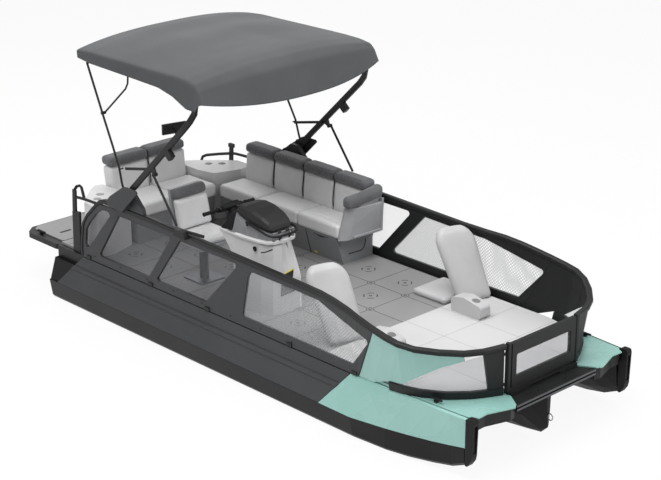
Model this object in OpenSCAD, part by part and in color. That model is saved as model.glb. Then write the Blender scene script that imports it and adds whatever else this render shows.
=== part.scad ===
// Pontoon boat with three hulls, fence, benches, helm console and folding sun top.
// Axes: +X towards the bow, +Y to port, +Z up.  Z = 0 is under the keels.

/* [Hull] */
// how far the whole boat is moved so that the origin is under its middle
shift_x = 110; // [0:200]
// length of the straight part of a side hull, aft end
hull_aft_x = -2690; // [-2800:-2500]
// outer half width of the side hulls at the chine
chine_y = 1210; // [1100:1300]
// height of the chine
chine_z = 206; // [150:300]
// underside of the deck structure
deck_under_z = 430; // [380:480]
// top of the side, where the fence stands
sheer_z = 550; // [500:600]
// half width at the fence
sheer_y = 1100; // [1000:1150]
// thickness of the side panels
panel_t = 14; // [8:25]

/* [Deck] */
// thickness of the floor covering
floor_t = 27; // [15:40]
// forward end of the grey floor
floor_fwd_x = 1292; // [1200:1400]
// thickness of the white bow pads
pad_t = 23; // [10:60]

/* [Fence] */
// thickness of the fence panels
fence_t = 30; // [20:50]
// thickness of the window panes
pane_t = 5; // [3:8]
// width of the top rail
rail_w = 54; // [40:80]
// depth of the top rail
rail_h = 46; // [30:60]

/* [Sun top] */
// hinge of the main arms, along the boat
arm_pivot_x = -1390; // [-1500:-1300]
// hinge of the main arms, height
arm_pivot_z = 1430; // [1350:1500]
// outer half width of the canopy
canopy_y = 1125; // [1000:1200]
// height of the canopy's crown
crown_z = 2860; // [2700:3000]
// thickness of the canopy fabric shell
canopy_t = 12; // [4:20]

/* [Seats] */
// top of the seat cushions
seat_z = 1025; // [950:1100]
// top of the back bolsters
back_z = 1400; // [1300:1450]

/* [Build] */
// piece to build

/* [Hidden] */
$fn = 48;
floor_z = sheer_z + floor_t;

module placed() translate([shift_x, 0, 0]) children();

// mirrored pair
module both() {
  children();
  mirror([0, 1, 0]) children();
}

// round bar between two points
module bar(p, q, r) {
  d = q - p;
  len = norm(d);
  translate(p)
    rotate([0, acos(d[2] / len), atan2(d[1], d[0])])
      cylinder(r = r, h = len);
}

// outline in the X-Z plane made solid between two Y values
module slab_xz(y0, y1) {
  translate([0, y1, 0])
    rotate([90, 0, 0])
      linear_extrude(y1 - y0) children();
}

// outline in the Y-Z plane made solid between two X values
module slab_yz(x0, x1) {
  translate([x0, 0, 0])
    rotate([90, 0, 90])
      linear_extrude(x1 - x0) children();
}

// outline in plan made solid between two heights
module slab_xy(z0, z1) {
  translate([0, 0, z0])
    linear_extrude(z1 - z0) children();
}

module rounded(r) {
  offset(r) offset(-r) children();
}

// closed skin over a list of equal rings, turned the right way out; on the sides
// listed in turned the diagonals run the other way, so a thin skin keeps its thickness
function sum(v, i = 0) = i < len(v) ? v[i] + sum(v, i + 1) : 0;
module loft(rings, turned = []) {
  n = len(rings[0]);
  m = len(rings);
  pts = [for (r = rings) each r];
  sides = [for (i = [0 : m - 2]) for (j = [0 : n - 1])
    let (a = i * n + j, b = i * n + (j + 1) % n, c = b + n, d = a + n)
    each (len(search(j, turned)) > 0 ? [[a, b, d], [b, c, d]] : [[a, b, c], [a, c, d]])];
  // the end faces are strips from one half of the ring to the other
  cap = [for (j = [0 : n]) if (j + 1 < n - 1 - j) each concat(
    [[j, j + 1, n - 1 - j]], j + 1 < n - 2 - j ? [[j + 1, n - 2 - j, n - 1 - j]] : [])];
  k = (m - 1) * n;
  ends = [for (f = cap) each [[f[0], f[2], f[1]], [f[0] + k, f[1] + k, f[2] + k]]];
  all = concat(sides, ends);
  vol = sum([for (f = all) cross(pts[f[0]] - pts[0], pts[f[1]] - pts[0]) * (pts[f[2]] - pts[0])]);
  polyhedron(
    points = pts,
    faces = vol < 0 ? all : [for (f = all) [f[2], f[1], f[0]]],
    convexity = 10);
}

function lerp(a, b, t) = a + (b - a) * t;
function part_of(p, i0, i1) = [for (i = [i0 : i1]) p[i]];
function between(p, q, f) = [for (i = [0 : len(p) - 1]) lerp(p[i], q[i], f[i])];
// a half outline in plan and its mirror image, as one closed outline
function whole(p) = concat(p, [for (i = [len(p) - 1 : -1 : 0]) [p[i][0], -p[i][1]]]);
// unit normal in plan, to the left of the path, at point i
function plan_n(p, i) =
  let (a = p[max(i - 1, 0)], b = p[min(i + 1, len(p) - 1)], d = [b[0] - a[0], b[1] - a[1]])
  [-d[1], d[0], 0] / norm(d);

// bar of the given section swept along a path that stays nearly level
module sweep(path, profile) {
  loft([for (i = [0 : len(path) - 1])
    let (n = plan_n(path, i))
    [for (q = profile) path[i] + n * q[0] + [0, 0, q[1]]]]);
}

// upright wall between a lower and an upper path; offsets are to the left
module wall(low, high, d0, d1) {
  loft([for (i = [0 : len(low) - 1])
    let (n = plan_n(low, i), m = plan_n(high, i))
    [low[i] + n * d1, low[i] + n * d0, high[i] + m * d0, high[i] + m * d1]], [3]);
}

// ---- hulls ----
// one side hull section: x, chine y, chine z, keel outer y, keel z, inner y, mid z
stations = [
  [hull_aft_x, 1210, 206, 1180, 0, 800, 430],
  [1400, 1211, 206, 1180, 0, 800, 430],
  [1789, 1211, 206, 1180, 0, 800, 430],
  [2166, 1160, 216, 1150, 0, 810, 430],
  [2400, 1118, 224, 1120, 12, 840, 430],
  [2650, 1080, 242, 1080, 36, 880, 430],
  [2850, 1058, 268, 1056, 70, 930, 430],
  [2990, 1050, 290, 1050, 130, 975, 430]];

// the hull's side stands behind the panels, and a little deeper behind the bow caps
function side_gap(x) = panel_t + (x < 1500 ? 2 : 20);
function hull_ring(s) = [
  [s[0], s[5], s[6]],
  [s[0], s[5] + 8, lerp(s[4], s[6], 0.55)],
  [s[0], lerp(s[5], s[3], 0.30), lerp(s[4], s[2], 0.35)],
  [s[0], lerp(s[5], s[3], 0.62), s[4]],
  [s[0], s[3] - 22, s[4]],
  [s[0], s[3], s[4] + 26],
  [s[0], s[1], s[2]],
  [s[0], s[1] - side_gap(s[0]), s[2] + 1],
  [s[0], s[1] - side_gap(s[0]) - (s[6] - s[2]) * (s[1] - side_top(s[0])) / (sheer_z - s[2]), s[6]]];

function side_top(x) = x < 2157 ? sheer_y : lerp(1100, 1040, (x - 2157) / 864);

module side_hull() {
  loft([for (s = stations) hull_ring(s)]);
}

module hull_starboard() {
  color("#1c1c1e") placed() mirror([0, 1, 0]) side_hull();
}

module hull_port() {
  color("#1c1c1e") placed() side_hull();
}

// centre hull: x, half width at the top, chine half width, chine z, keel z
center_st = [
  [-2640, 330, 300, 150, 20],
  [1500, 330, 300, 150, 20],
  [2100, 300, 260, 160, 22],
  [2500, 230, 190, 180, 28],
  [2800, 130, 100, 210, 40],
  [2946, 60, 44, 240, 60],
  [3020, 24, 18, 270, 130]];

module hull_center() {
  color("#18181a") placed() difference() {
    loft([for (s = center_st) [
      [s[0], -s[1], deck_under_z],
      [s[0], -s[2], s[3]],
      [s[0], -s[2] * 0.45, lerp(s[4], s[3], 0.18)],
      [s[0], 0, s[4]],
      [s[0], s[2] * 0.45, lerp(s[4], s[3], 0.18)],
      [s[0], s[2], s[3]],
      [s[0], s[1], deck_under_z]]]);
    translate([-2300, -230, 130]) cube([900, 460, 260]);
  }
}

module panel_section() {
  k = (chine_y - sheer_y) / (sheer_z - chine_z);
  function yy(z) = chine_y - (z - chine_z) * k;
  polygon([
    [yy(208), 208], [yy(394), 394], [yy(400) + 10, 402], [yy(436) + 10, 436],
    [yy(438) - 3, 438], [yy(446) - 3, 446], [yy(450), 450], [yy(550), 550],
    [yy(550) - panel_t, 550], [yy(208) - panel_t, 208]]);
}

module side_panel() {
  intersection() {
    slab_yz(-2560, 1700) panel_section();
    slab_xz(1000, 1300)
      polygon([[-2560, 200], [-2330, 440], [-2210, 560], [1690, 560], [1380, 200]]);
  }
}

module side_panel_starboard() {
  color("#444547") placed() mirror([0, 1, 0]) side_panel();
}

module side_panel_port() {
  color("#444547") placed() side_panel();
}

// ---- coloured bow caps ----
cap_st = [
  [1300, 1211, 208, 1100], [1789, 1214, 208, 1100], [2166, 1160, 218, 1100],
  [2400, 1118, 226, 1083], [2650, 1080, 244, 1066], [2850, 1058, 270, 1052],
  [3000, 1050, 296, 1042]];

module bow_side() {
  intersection() {
    loft([for (s = cap_st) [
      [s[0], s[1] - panel_t, s[2]],
      [s[0], s[1], s[2]],
      [s[0], s[3], sheer_z],
      [s[0], s[3] - 20, sheer_z + 12],
      [s[0], s[3] - panel_t, sheer_z]]]);
    slab_xz(900, 1300)
      polygon([[1386, 200], [1696, 560], [1696, 600], [3100, 600], [3100, 200]]);
  }
}

module bow_deck() {
  slab_xy(sheer_z, sheer_z + 12)
    polygon([[1700, 1030], [1700, 1064], [2157, 1064], [2500, 1042], [2990, 1006],
      [2999, 985], [3056, 955], [3048, 844], [3135, 582], [3102, 536], [2966, 446],
      [2889, 446], [2889, 470], [2820, 610], [2755, 700], [2610, 850], [2440, 985],
      [2250, 1024]]);
}

module bow_cap() {
  bow_side();
  bow_deck();
}

module bow_cap_starboard() {
  color("#9ac3bd") placed() mirror([0, 1, 0]) bow_cap();
}

module bow_cap_port() {
  color("#9ac3bd") placed() bow_cap();
}

module stem_guards() {
  color("#1a1a1c") placed() both() difference() {
    slab_xz(992, 1056) rounded(18)
      polygon([[3002, 128], [3034, 140], [3072, 196], [3082, 240], [3092, 540],
        [3084, 572], [3002, 572]]);
    slab_xz(1004, 1044) translate([3084, 390]) square([20, 250], center = true);
  }
}

// ---- deck ----
deck_plan = [[-2690, 1080], [1580, 1080], [1590, 1062], [2157, 1062], [2500, 1038],
  [2650, 1026], [2850, 1012], [2988, 1000], [2988, 980], [3030, 950], [3025, 846],
  [3100, 600], [3085, 535], [2889, 535]];

module deck() {
  color("#2a2b2d") placed() slab_xy(deck_under_z, sheer_z) polygon(whole(deck_plan));
}

floor_plan = [[-2680, 1035], [floor_fwd_x, 1035]];

module floor_tiles() {
  color("#8b8b8b") placed() {
    slab_xy(sheer_z, floor_z) polygon(whole(floor_plan));
    // three pads on the stern platform
    slab_xy(548.5, 562) rounded(20) polygon([[-3290, -330], [-2730, -330], [-2730, 330],
      [-3290, 330]]);
    both() slab_xy(548.5, 562) rounded(20) polygon([[-3290, 338], [-2730, 338],
      [-2730, 985], [-3235, 985], [-3290, 915]]);
  }
}

bow_floor = [[floor_fwd_x, 1020], [2150, 1020], [2430, 970], [2600, 840], [2740, 690],
  [2800, 600], [2880, 440]];

module bow_pads() {
  color("#dcdcdc") placed() slab_xy(sheer_z + 12, floor_z + pad_t) polygon(whole(bow_floor));
}

module swim_platform() {
  color("#2a2b2d") placed() slab_xy(490, 548)
    rounded(60) polygon([[-3330, -960], [-3230, -1075], [-2691, -1075], [-2691, 1075],
      [-3230, 1075], [-3330, 960]]);
}

module bow_step() {
  color("#3a3b3d") placed() {
    difference() {
      slab_xy(549.4, 592) polygon([[2890, -440], [2964, -440], [2964, 440], [2890, 440]]);
      slab_xy(566, 580) square([6200, 400], center = true);
    }
    difference() {
      union() {
        slab_yz(2890, 3070) polygon([[-530, 549.4], [530, 549.4], [530, 484], [-530, 484]]);
        for (z = [488, 524]) slab_yz(3070, 3104) polygon([[-530, z], [530, z],
          [530, z + 24], [-530, z + 24]]);
      }
      for (y = [-180, 180]) translate([3040, y, 470]) cylinder(r = 8, h = 100);
    }
  }
}

// feet that hold the fence off the deck
clip_xs = [-2120, -1112, -250, 900, 1740];
module fence_clips() {
  color("#1b1c1e") placed() both() for (x = clip_xs) translate([x, 0, 0]) difference() {
    slab_xy(x > 1700 ? 562 : sheer_z, 596) polygon([[-34, 1058], [34, 1058], [34, 1111],
      [-34, 1111]]);
    slab_xy(561.9, 700) polygon([[-60, 1070], [60, 1070], [60, 1105], [-60, 1105]]);
    slab_xy(500, 562) polygon([[-60, 1081], [60, 1081], [60, 1120], [-60, 1120]]);
  }
}

// ---- fence ----
win0 = [[-2096, 700], [-2140, 676], [-2172, 700], [-2150, 870], [-2088, 960], [-1965, 1088],
  [-1862, 1152], [-1776, 1160], [-1713, 1139]];
win1 = [[-1950, 640], [-1590, 1160], [-760, 1160], [-1140, 640]];
win2 = [[-1030, 640], [-640, 1155], [215, 1155], [-270, 640]];
win3 = [[262, 652], [262, 690], [346, 1080], [390, 1135], [1290, 1130], [1990, 975],
  [1720, 652]];
win2p = [[-1030, 640], [-640, 1155], [330, 1155], [-130, 640]];
win3p = [[40, 652], [500, 1150], [1290, 1130], [1990, 975], [1720, 652]];

// outline of the fence seen from the side
fence_outline = [[-2216, 562], [-2217, 640], [-2210, 730], [-2174, 925], [-2104, 1020],
  [-1968, 1146], [-1900, 1200], [-1106, 1240], [1500, 1200], [2050, 1100], [1786, 562]];

// foot and top of the fence, and of the curved bow part from station 8 on
fence_low = [
  [-2330, 1085, 562], [-1106, 1085, 562], [-200, 1085, 562], [1000, 1085, 562],
  [1300, 1085, 562], [1500, 1085, 562], [1700, 1085, 562], [1789, 1085, 562],
  [1960, 1085, 562], [2160, 1080, 562], [2300, 1058, 562], [2450, 1000, 562],
  [2628, 882, 562], [2769, 718, 562], [2840, 590, 562], [2894, 474, 562]];
fence_high = [
  [-2330, 1085, 1226], [-1106, 1085, 1226], [-200, 1085, 1203], [1000, 1085, 1175],
  [1300, 1095, 1172], [1500, 1120, 1166], [1700, 1145, 1144], [1850, 1165, 1118],
  [2010, 1180, 1092], [2200, 1188, 1062], [2330, 1180, 1042], [2470, 1120, 1018],
  [2628, 990, 1000], [2769, 832, 985], [2850, 680, 982], [2898, 484, 982]];

module fence_frame(windows) {
  difference() {
    intersection() {
      wall(part_of(fence_low, 0, 9), part_of(fence_high, 0, 9), -15, 15);
      slab_xz(900, 1300) polygon(fence_outline);
    }
    for (w = windows) slab_xz(900, 1300) rounded(28) polygon(w);
  }
}

module fence_starboard() {
  color("#48494b") placed() mirror([0, 1, 0]) fence_frame([win0, win1, win2, win3]);
}

module fence_port() {
  color("#2c2d2f") placed() fence_frame([win0, win1, win2p, win3p]);
}

module fence_pane(w) {
  intersection() {
    wall(part_of(fence_low, 0, 9), part_of(fence_high, 0, 9), -3, pane_t - 3);
    slab_xz(900, 1300) offset(-0.5) rounded(28) polygon(w);
  }
}

module panes_starboard() {
  color("#8a8f92", 0.4) placed() mirror([0, 1, 0]) for (w = [win0, win1, win2]) fence_pane(w);
}

module panes_port() {
  color("#8a8f92", 0.4) placed() for (w = [win0, win1, win2p]) fence_pane(w);
}

module mesh_panes() {
  color("#9a9c9e", 0.5) placed() {
    fence_pane(win3p);
    mirror([0, 1, 0]) fence_pane(win3);
  }
}

rail_profile = [[-27, -14], [-20, -23], [20, -23], [27, -14], [27, 14], [18, 23],
  [-18, 23], [-27, 14]];
rail_path = [
  [-1990, 1085, 1150], [-1968, 1085, 1170], [-1900, 1085, 1224], [-1820, 1085, 1250],
  [-1106, 1085, 1250], [-200, 1085, 1227], [1000, 1085, 1199],
  [1300, 1095, 1196], [1500, 1120, 1190], [1700, 1145, 1168], [1850, 1165, 1142],
  [2010, 1180, 1116], [2200, 1188, 1086], [2330, 1180, 1066], [2470, 1120, 1042],
  [2628, 990, 1024], [2769, 832, 1009], [2850, 680, 1006], [2905, 470, 1006]];

module top_rails() {
  color("#232426") placed() both() {
    sweep(rail_path, rail_profile);
    // its aft end, down to the deck
    slab_xz(1062, 1108) polygon([[-2245, 566], [-2247, 640], [-2238, 740], [-2200, 935],
      [-2123, 1041], [-1988, 1170], [-1988, 1129.5], [-2105.5, 1021.5], [-2176, 926],
      [-2212, 730], [-2218.5, 640], [-2218, 566]]);
  }
}

module bow_fence() {
  lo = part_of(fence_low, 9, 15);
  hi = part_of(fence_high, 9, 15);
  n = len(lo);
  color("#2b2c2e") placed() both() {
    wall(lo, between(lo, hi, [for (i = [0 : n - 1]) 0.16]), -20, 20);
    wall(between(part_of(lo, 5, 6), part_of(hi, 5, 6), [0.162, 0.162]), part_of(hi, 5, 6), -14, 14);
  }
}

cap_from = [0, 0, 0.165, 0.2, 0.45, 0.72, 0.9];

module cap_wall(d0, d1) {
  lo = part_of(fence_low, 7, 13);
  hi = part_of(fence_high, 7, 13);
  intersection() {
    wall(between(lo, hi, cap_from), hi, d0, d1);
    slab_xz(700, 1300) polygon([[1787, 500], [1787, 556], [2053, 1100], [2053, 1300],
      [3000, 1300], [3000, 500]]);
  }
}

module fence_caps() {
  color("#9ac3bd") placed() both() cap_wall(-6, 6);
}

// dark inner face of the coloured panels
module cap_liners() {
  color("#26272a") placed() both() cap_wall(-14, -6.5);
}

module bow_panes() {
  lo = concat(part_of(fence_low, 9, 13), [lerp(fence_low[13], fence_low[14], 0.97)]);
  hi = concat(part_of(fence_high, 9, 13), [lerp(fence_high[13], fence_high[14], 0.97)]);
  color("#9a9fa2", 0.4) placed() both()
    wall(between(lo, hi, [for (i = [0 : 5]) 0.162]),
      between(lo, hi, [0.1645, 0.197, 0.446, 0.715, 0.895, 0.97]), -2, 3);
}

// ---- gate ----
gate_x = 2925;
// hinge line of the gate, on the starboard post, inboard
hinge_x = gate_x - 34;
hinge_y = 424;
hinge_zs = [680, 960];

module gate_posts() {
  color("#242527") placed() {
    both() slab_xy(592, 1040) rounded(8) polygon([[gate_x - 22, 432], [gate_x + 22, 432],
      [gate_x + 22, 470], [gate_x - 22, 470]]);
    for (z = hinge_zs) {
      translate([hinge_x - 12, -hinge_y - 40, z - 44]) cube([34, 40, 20]);
      translate([hinge_x, -hinge_y, z - 44]) cylinder(r = 14, h = 20);
      translate([hinge_x, -hinge_y, z - 30]) cylinder(r = 8, h = 62);
    }
  }
}

module gate_frame() {
  color("#2a2b2d") placed() difference() {
    union() {
      difference() {
        slab_yz(gate_x - 18, gate_x + 18) rounded(10) polygon([[-418, 610], [424, 610],
          [424, 1030], [-418, 1030]]);
        slab_yz(gate_x - 30, gate_x + 30) rounded(20) polygon([[-360, 706], [360, 706],
          [360, 915], [-360, 915]]);
      }
      for (z = hinge_zs) {
        translate([hinge_x, -hinge_y, z - 18]) cylinder(r = 15, h = 40);
        translate([hinge_x, -hinge_y + 4, z - 18]) cube([gate_x - hinge_x, 20, 40]);
      }
    }
    for (z = hinge_zs) translate([hinge_x, -hinge_y, z - 60]) cylinder(r = 8.05, h = 120);
  }
}

module gate_pane() {
  color("#9a9fa2", 0.4) placed() slab_yz(gate_x - 3, gate_x + 2)
    offset(-0.3) rounded(20) polygon([[-360, 706], [360, 706], [360, 915], [-360, 915]]);
}

// ---- helm ----
con_y = -635;

// plan of the console's rim, half of it, from the helm side to the front
rim_half = [[-345, 205], [-40, 212], [190, 203], [288, 178], [338, 128], [356, 0]];

function rim_z(x) = x < -200 ? 1300 : lerp(1300, 1318, (x + 200) / 556);
// rim outline at a height over the rim plane, drawn in by d
function rim_ring(d, dz) = [for (p = concat(rim_half, [for (i = [4 : -1 : 0])
  [rim_half[i][0], -rim_half[i][1]]]))
  [p[0] - sign(p[0]) * min(d, abs(p[0])), p[1] - sign(p[1]) * min(d, abs(p[1])), rim_z(p[0]) + dz]];
function console_ring(z, aft, front, port) = [[aft, 205, z], [port, 205, z],
  [(port + front) / 2, 60, z], [front, -48, z], [front - 30, -128, z], [front - 130, -188, z],
  [aft, -205, z]];

hood = [[-200, 120], [-40, 148], [150, 152], [250, 140], [290, 100], [296, 0]];
function hood_z(x) = lerp(1470, 1384, (x + 200) / 496);

module console_body() {
  color("#b9babb") placed() translate([0, con_y, 0]) {
    difference() {
      union() {
        // body with a slanted front and a waist under the helm
        loft([console_ring(floor_z, -150, 330, 322), console_ring(900, -152, 342, 318),
          console_ring(1090, -172, 350, 235), console_ring(1276, -330, 352, 150)]);
        // rim
        loft([rim_ring(10, -34), rim_ring(0, -24), rim_ring(0, -4), rim_ring(6, 0)]);
        // hood that carries the lid
        loft([[for (p = rim_ring(30, -2)) [max(p[0], -205), p[1], p[2]]],
          [for (p = concat(hood, [for (i = [4 : -1 : 0]) [hood[i][0], -hood[i][1]]]))
            [p[0], p[1], hood_z(p[0])]]]);
        for (y = [-130, 106]) translate([308, y, 1310]) cube([20, 24, 82]);
      }
      translate([-130, -120, 1100]) cube([380, 240, 500]);
    }
    for (y = [-130, 106]) translate([318, y, 1392]) rotate([-90, 0, 0]) cylinder(r = 10, h = 24);
    translate([318, -120, 1392]) rotate([-90, 0, 0]) cylinder(r = 6, h = 240);
  }
}

// lid sections from the hinge aft: x, base height, top height, half width
lid_st = [[296, 1402, 1418, 96], [285, 1402, 1446, 118], [255, 1406, 1484, 140],
  [180, 1416, 1530, 156], [60, 1436, 1564, 162], [-60, 1456, 1576, 156],
  [-150, 1474, 1560, 138], [-196, 1482, 1524, 112], [-206, 1484, 1496, 92]];

module console_lid() {
  color("#2b2b2d") placed() translate([0, con_y, 0]) difference() {
    union() {
      loft([for (s = lid_st) [
        [s[0], -s[3], s[1]], [s[0], -s[3] - 6, lerp(s[1], s[2], 0.3)],
        [s[0], -s[3] * 0.95, lerp(s[1], s[2], 0.75)], [s[0], -s[3] * 0.8, lerp(s[1], s[2], 0.94)],
        [s[0], -s[3] * 0.3, s[2]], [s[0], s[3] * 0.3, s[2]],
        [s[0], s[3] * 0.8, lerp(s[1], s[2], 0.94)], [s[0], s[3] * 0.95, lerp(s[1], s[2], 0.75)],
        [s[0], s[3] + 6, lerp(s[1], s[2], 0.3)], [s[0], s[3], s[1]]]]);
      for (y = [-70, 30]) {
        translate([318, y, 1392]) rotate([-90, 0, 0]) cylinder(r = 12, h = 40);
        translate([272, y, 1396]) cube([46, 40, 8]);
      }
    }
    translate([318, -170, 1392]) rotate([-90, 0, 0]) cylinder(r = 6.05, h = 340);
    translate([318, -28, 1392]) rotate([-90, 0, 0]) cylinder(r = 14, h = 56);
  }
}

// dash with the steering column, and the grab bar round the lid
module steering_pod() {
  color("#232325") placed() {
    translate([0, con_y, 0]) {
      loft([[[-338, -196, 1303.5], [-338, 196, 1303.5], [-338, 190, 1316], [-338, -190, 1316]],
        [[-290, -188, 1303.5], [-290, 188, 1303.5], [-290, 150, 1392], [-290, -150, 1392]],
        [[-214, -176, 1303.5], [-214, 176, 1303.5], [-214, 110, 1474], [-214, -110, 1474]]]);
      slab_xz(-62, 62) polygon([[-214, 1440], [-214, 1500], [-262, 1496], [-318, 1440],
        [-400, 1400], [-424, 1330], [-372, 1303.5], [-300, 1303.5]]);
      sweep([for (p = [[0, -177, 1440], [270, -177, 1390], [318, -168, 1382], [350, -140, 1376],
        [368, -100, 1374], [370, 0, 1373], [368, 100, 1374], [350, 140, 1376],
        [318, 168, 1382], [270, 177, 1390], [0, 177, 1440]]) p], ring(11));
      both() {
        bar([330, 60, 1326], [366, 60, 1368], 9);
        bar([6, 168, 1404], [6, 176, 1440], 9);
      }
    }
    on_column() {
      translate([0, 0, 80]) cylinder(r = 30, h = 90);
      translate([0, 0, 80]) cylinder(r = 12, h = 150);
    }
  }
}

module handlebar() {
  color("#1b1b1d") placed() on_column() difference() {
    union() {
      translate([0, 0, 171]) cylinder(r = 38, h = 62);
      both() {
        bar([0, 20, 205], [-6, 130, 222], 15);
        bar([-6, 130, 222], [-26, 315, 222], 16);
      }
    }
    translate([0, 0, 100]) cylinder(r = 12.05, h = 131);
  }
}

// frame of the steering column, leaning aft
module on_column() translate([-320, con_y, 1250]) rotate([0, -30, 0]) children();

seat_x = -880;
seat_y = -610;

module helm_pedestal() {
  color("#6c6d70") placed() translate([seat_x, seat_y, 0]) {
    slab_xy(floor_z, floor_z + 14) rounded(20) square([300, 300], center = true);
    translate([0, 0, floor_z + 14]) cylinder(r = 45, h = 310);
    translate([0, 0, floor_z + 300]) cylinder(r = 25, h = 75);
  }
}

module helm_seat() {
  color("#a8a9ab") placed() translate([seat_x, seat_y, 0]) difference() {
    union() {
      translate([0, 0, floor_z + 330]) cylinder(r = 70, h = 50);
      slab_xy(floor_z + 380, floor_z + 410) rounded(60) square([440, 460], center = true);
      slab_xz(-188, 188) polygon([[-212, floor_z + 400], [-180, floor_z + 400],
        [-262, 1470], [-300, 1470]]);
    }
    translate([0, 0, floor_z + 320]) cylinder(r = 25.05, h = 60);
  }
}

module helm_cushions() {
  color("#c4c5c6") placed() translate([seat_x, seat_y, 0]) {
    slab_xy(floor_z + 411, floor_z + 500) rounded(60) translate([20, 0])
      square([370, 440], center = true);
    slab_xz(-200, 200) rounded(20) polygon([[-168, 1090], [-76, 1090], [-178, 1488],
      [-258, 1488]]);
  }
}

// ---- furniture ----
module sofa_base() {
  color("#77787a") placed() {
    slab_yz(-1960, -178)
      polygon([[622, floor_z], [1030, floor_z], [1030, 880], [512, 880]]);
    slab_yz(-179, -140) polygon([[560, 800], [1000, 800], [1000, 879], [530, 879]]);
  }
}

module sofa_seat() {
  color("#c8c8c9") placed() for (i = [0 : 2])
    translate([-1957 + i * 606, 0, 0])
      slab_yz(3, 600) rounded(30) polygon([[500, 881], [850, 881], [850, seat_z], [500, seat_z]]);
}

module sofa_backs() {
  color("#c8c8c9") placed() for (i = [0 : 3])
    translate([-1957 + i * 455, 0, 0])
      slab_yz(3, 450) rounded(30) polygon([[852, 900], [1000, 900], [1010, 1298], [880, 1298]]);
}

module bolsters() {
  color("#6f7072") placed() {
    for (i = [0 : 3]) translate([-1957 + i * 455, 0, 0])
      slab_yz(3, 450) rounded(40) polygon([[865, 1300], [1035, 1300], [1040, back_z], [870, back_z]]);
    for (y = [-500, 2]) slab_xz(y, y + 498) rounded(40)
      polygon([[-2668, 1300], [-2492, 1300], [-2504, back_z], [-2684, back_z]]);
    // arm rest rolled over the end of the sofa
    loft([for (r = [[548, -92, 24, 1240, 1290], [562, -92, 42, 1212, 1318],
        [590, -90, 48, 1196, 1330], [700, -84, 52, 1194, 1340], [860, -76, 58, 1240, 1372],
        [1000, -70, 62, 1240, 1410], [1034, -70, 58, 1240, 1420]])
      let (y = r[0], x = r[1], w = r[2], a = r[3], b = r[4])
      [[x - w, y, a + 20], [x - w + 16, y, a], [x + w - 16, y, a], [x + w, y, a + 20],
        [x + w, y, b - 34], [x + w - 22, y, b - 8], [x, y, b], [x - w + 22, y, b - 8],
        [x - w, y, b - 34]]]);
  }
}

module sofa_shell() {
  color("#8b8c8e") placed() {
    // end panel, its front corner cut back and its rear corner brought out
    loft([for (r = [[872, 0, 0], [880, 0.02, 6], [1000, 0.4, 8], [1180, 1, 8], [1192, 1, 0]])
      let (z = r[0], t = r[1], k = r[2]) [[-139, lerp(500, 586, t), z],
        [-120, lerp(498, 588, t), z], [-76 + k, lerp(556, 664, t), z],
        [-66 + k, lerp(580, 690, t), z], [lerp(-44, -30, t) + k, 1000, z],
        [lerp(-52, -38, t) + k, lerp(1030, 1040, t), z], [-139, lerp(1030, 1040, t), z]]]);
    slab_yz(-139, -60) polygon([[704, 1185], [1036, 1185], [1036, 1238], [870, 1238],
      [720, 1196]]);
    // raised frame round the end panel
    loft([for (r = [[-14, 0], [14, 0], [17, 3]]) let (x = r[0], k = r[1])
      [for (p = [[640 + k, 884 + k], [1016 - k, 884 + k], [1030 - k, 1226 - k],
        [1006, 1226 - k], [994, 908 - k], [640 + k, 908 - k]])
        [lerp(-60, -36, (p[0] - 640) / 380) + x, p[0], p[1]]]]);
  }
}

module bench_base() {
  color("#5f6062") placed() slab_xz(-500, 500)
    polygon([[-2600, floor_z], [-2060, floor_z], [-2020, 880], [-2600, 880]]);
}

module bench_seat() {
  color("#c8c8c9") placed() for (y = [-500, 2])
    slab_xz(y, y + 498) rounded(30) polygon([[-2460, 881], [-1990, 881], [-1990, seat_z],
      [-2460, seat_z]]);
}

module bench_back() {
  color("#c8c8c9") placed() for (y = [-500, 2])
    slab_xz(y, y + 498) rounded(30) polygon([[-2600, 900], [-2470, 900], [-2508, 1298],
      [-2655, 1298]]);
}

module corner_consoles() {
  color("#c9c9ca") placed() both() difference() {
    slab_xy(floor_z, 1095) rounded(40) polygon([[-2640, 520], [-2300, 506], [-2100, 560],
      [-2010, 860], [-2030, 1026], [-2262, 1026], [-2417, 887], [-2590, 700], [-2652, 610]]);
    for (p = [[-2394, 726], [-2297, 834]]) translate([p[0], p[1], 1015]) cylinder(r = 42, h = 100);
  }
}

module slab_pad() {
  color("#d0d0d0") placed() slab_xy(floor_z, 640) rounded(15)
    polygon([[830, 560], [1255, 560], [1255, 1010], [830, 1010]]);
}

// back rests that lean aft and stand a little turned inboard
// face of a back rest: distance outboard, height
back_face = [[180, 0], [194, 470], [168, 570], [88, 652], [0, 668], [-130, 668], [-212, 644],
  [-244, 580], [-216, 300], [-190, 0]];
function back_at(lx, w, h) = [0.961 * lx + 0.276 * w - 0.4745 * h,
  -0.276 * lx + 0.961 * w + 0.02 * h, 601 + h];

module chaise_backs() {
  color("#d4d4d4") placed() for (p = [[1395, 846], [1253, -699]]) translate([p[0], p[1], 0])
    loft([for (k = [-50, -38, 38, 50]) let (f = abs(k) > 40 ? 0.95 : 1)
      [for (p = back_face) back_at(k, p[0] * f, p[1] < 1 ? 0 : p[1] * f)]]);
}

module armrest_boxes() {
  color("#d6d6d6") placed() both() difference() {
    slab_xz(490, 630) rounded(40) polygon([[1406, 601], [1774, 601], [1774, 730],
      [1560, 770], [1406, 740]]);
    translate([1660, 560, 680]) cylinder(r = 40, h = 120);
  }
}

// ---- sun top ----
// hinge of the rear poles on the arms, and of the stays and struts
rear_x = -1395;
rear_z = 1490;
stay_x = -1016;
stay_z = 1784;
strut_x = -924;
strut_z = 1758;
mid_x = -1728;
mid_z = 2192;
arm_y = 1132;
pole_y = 1161.5;

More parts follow.
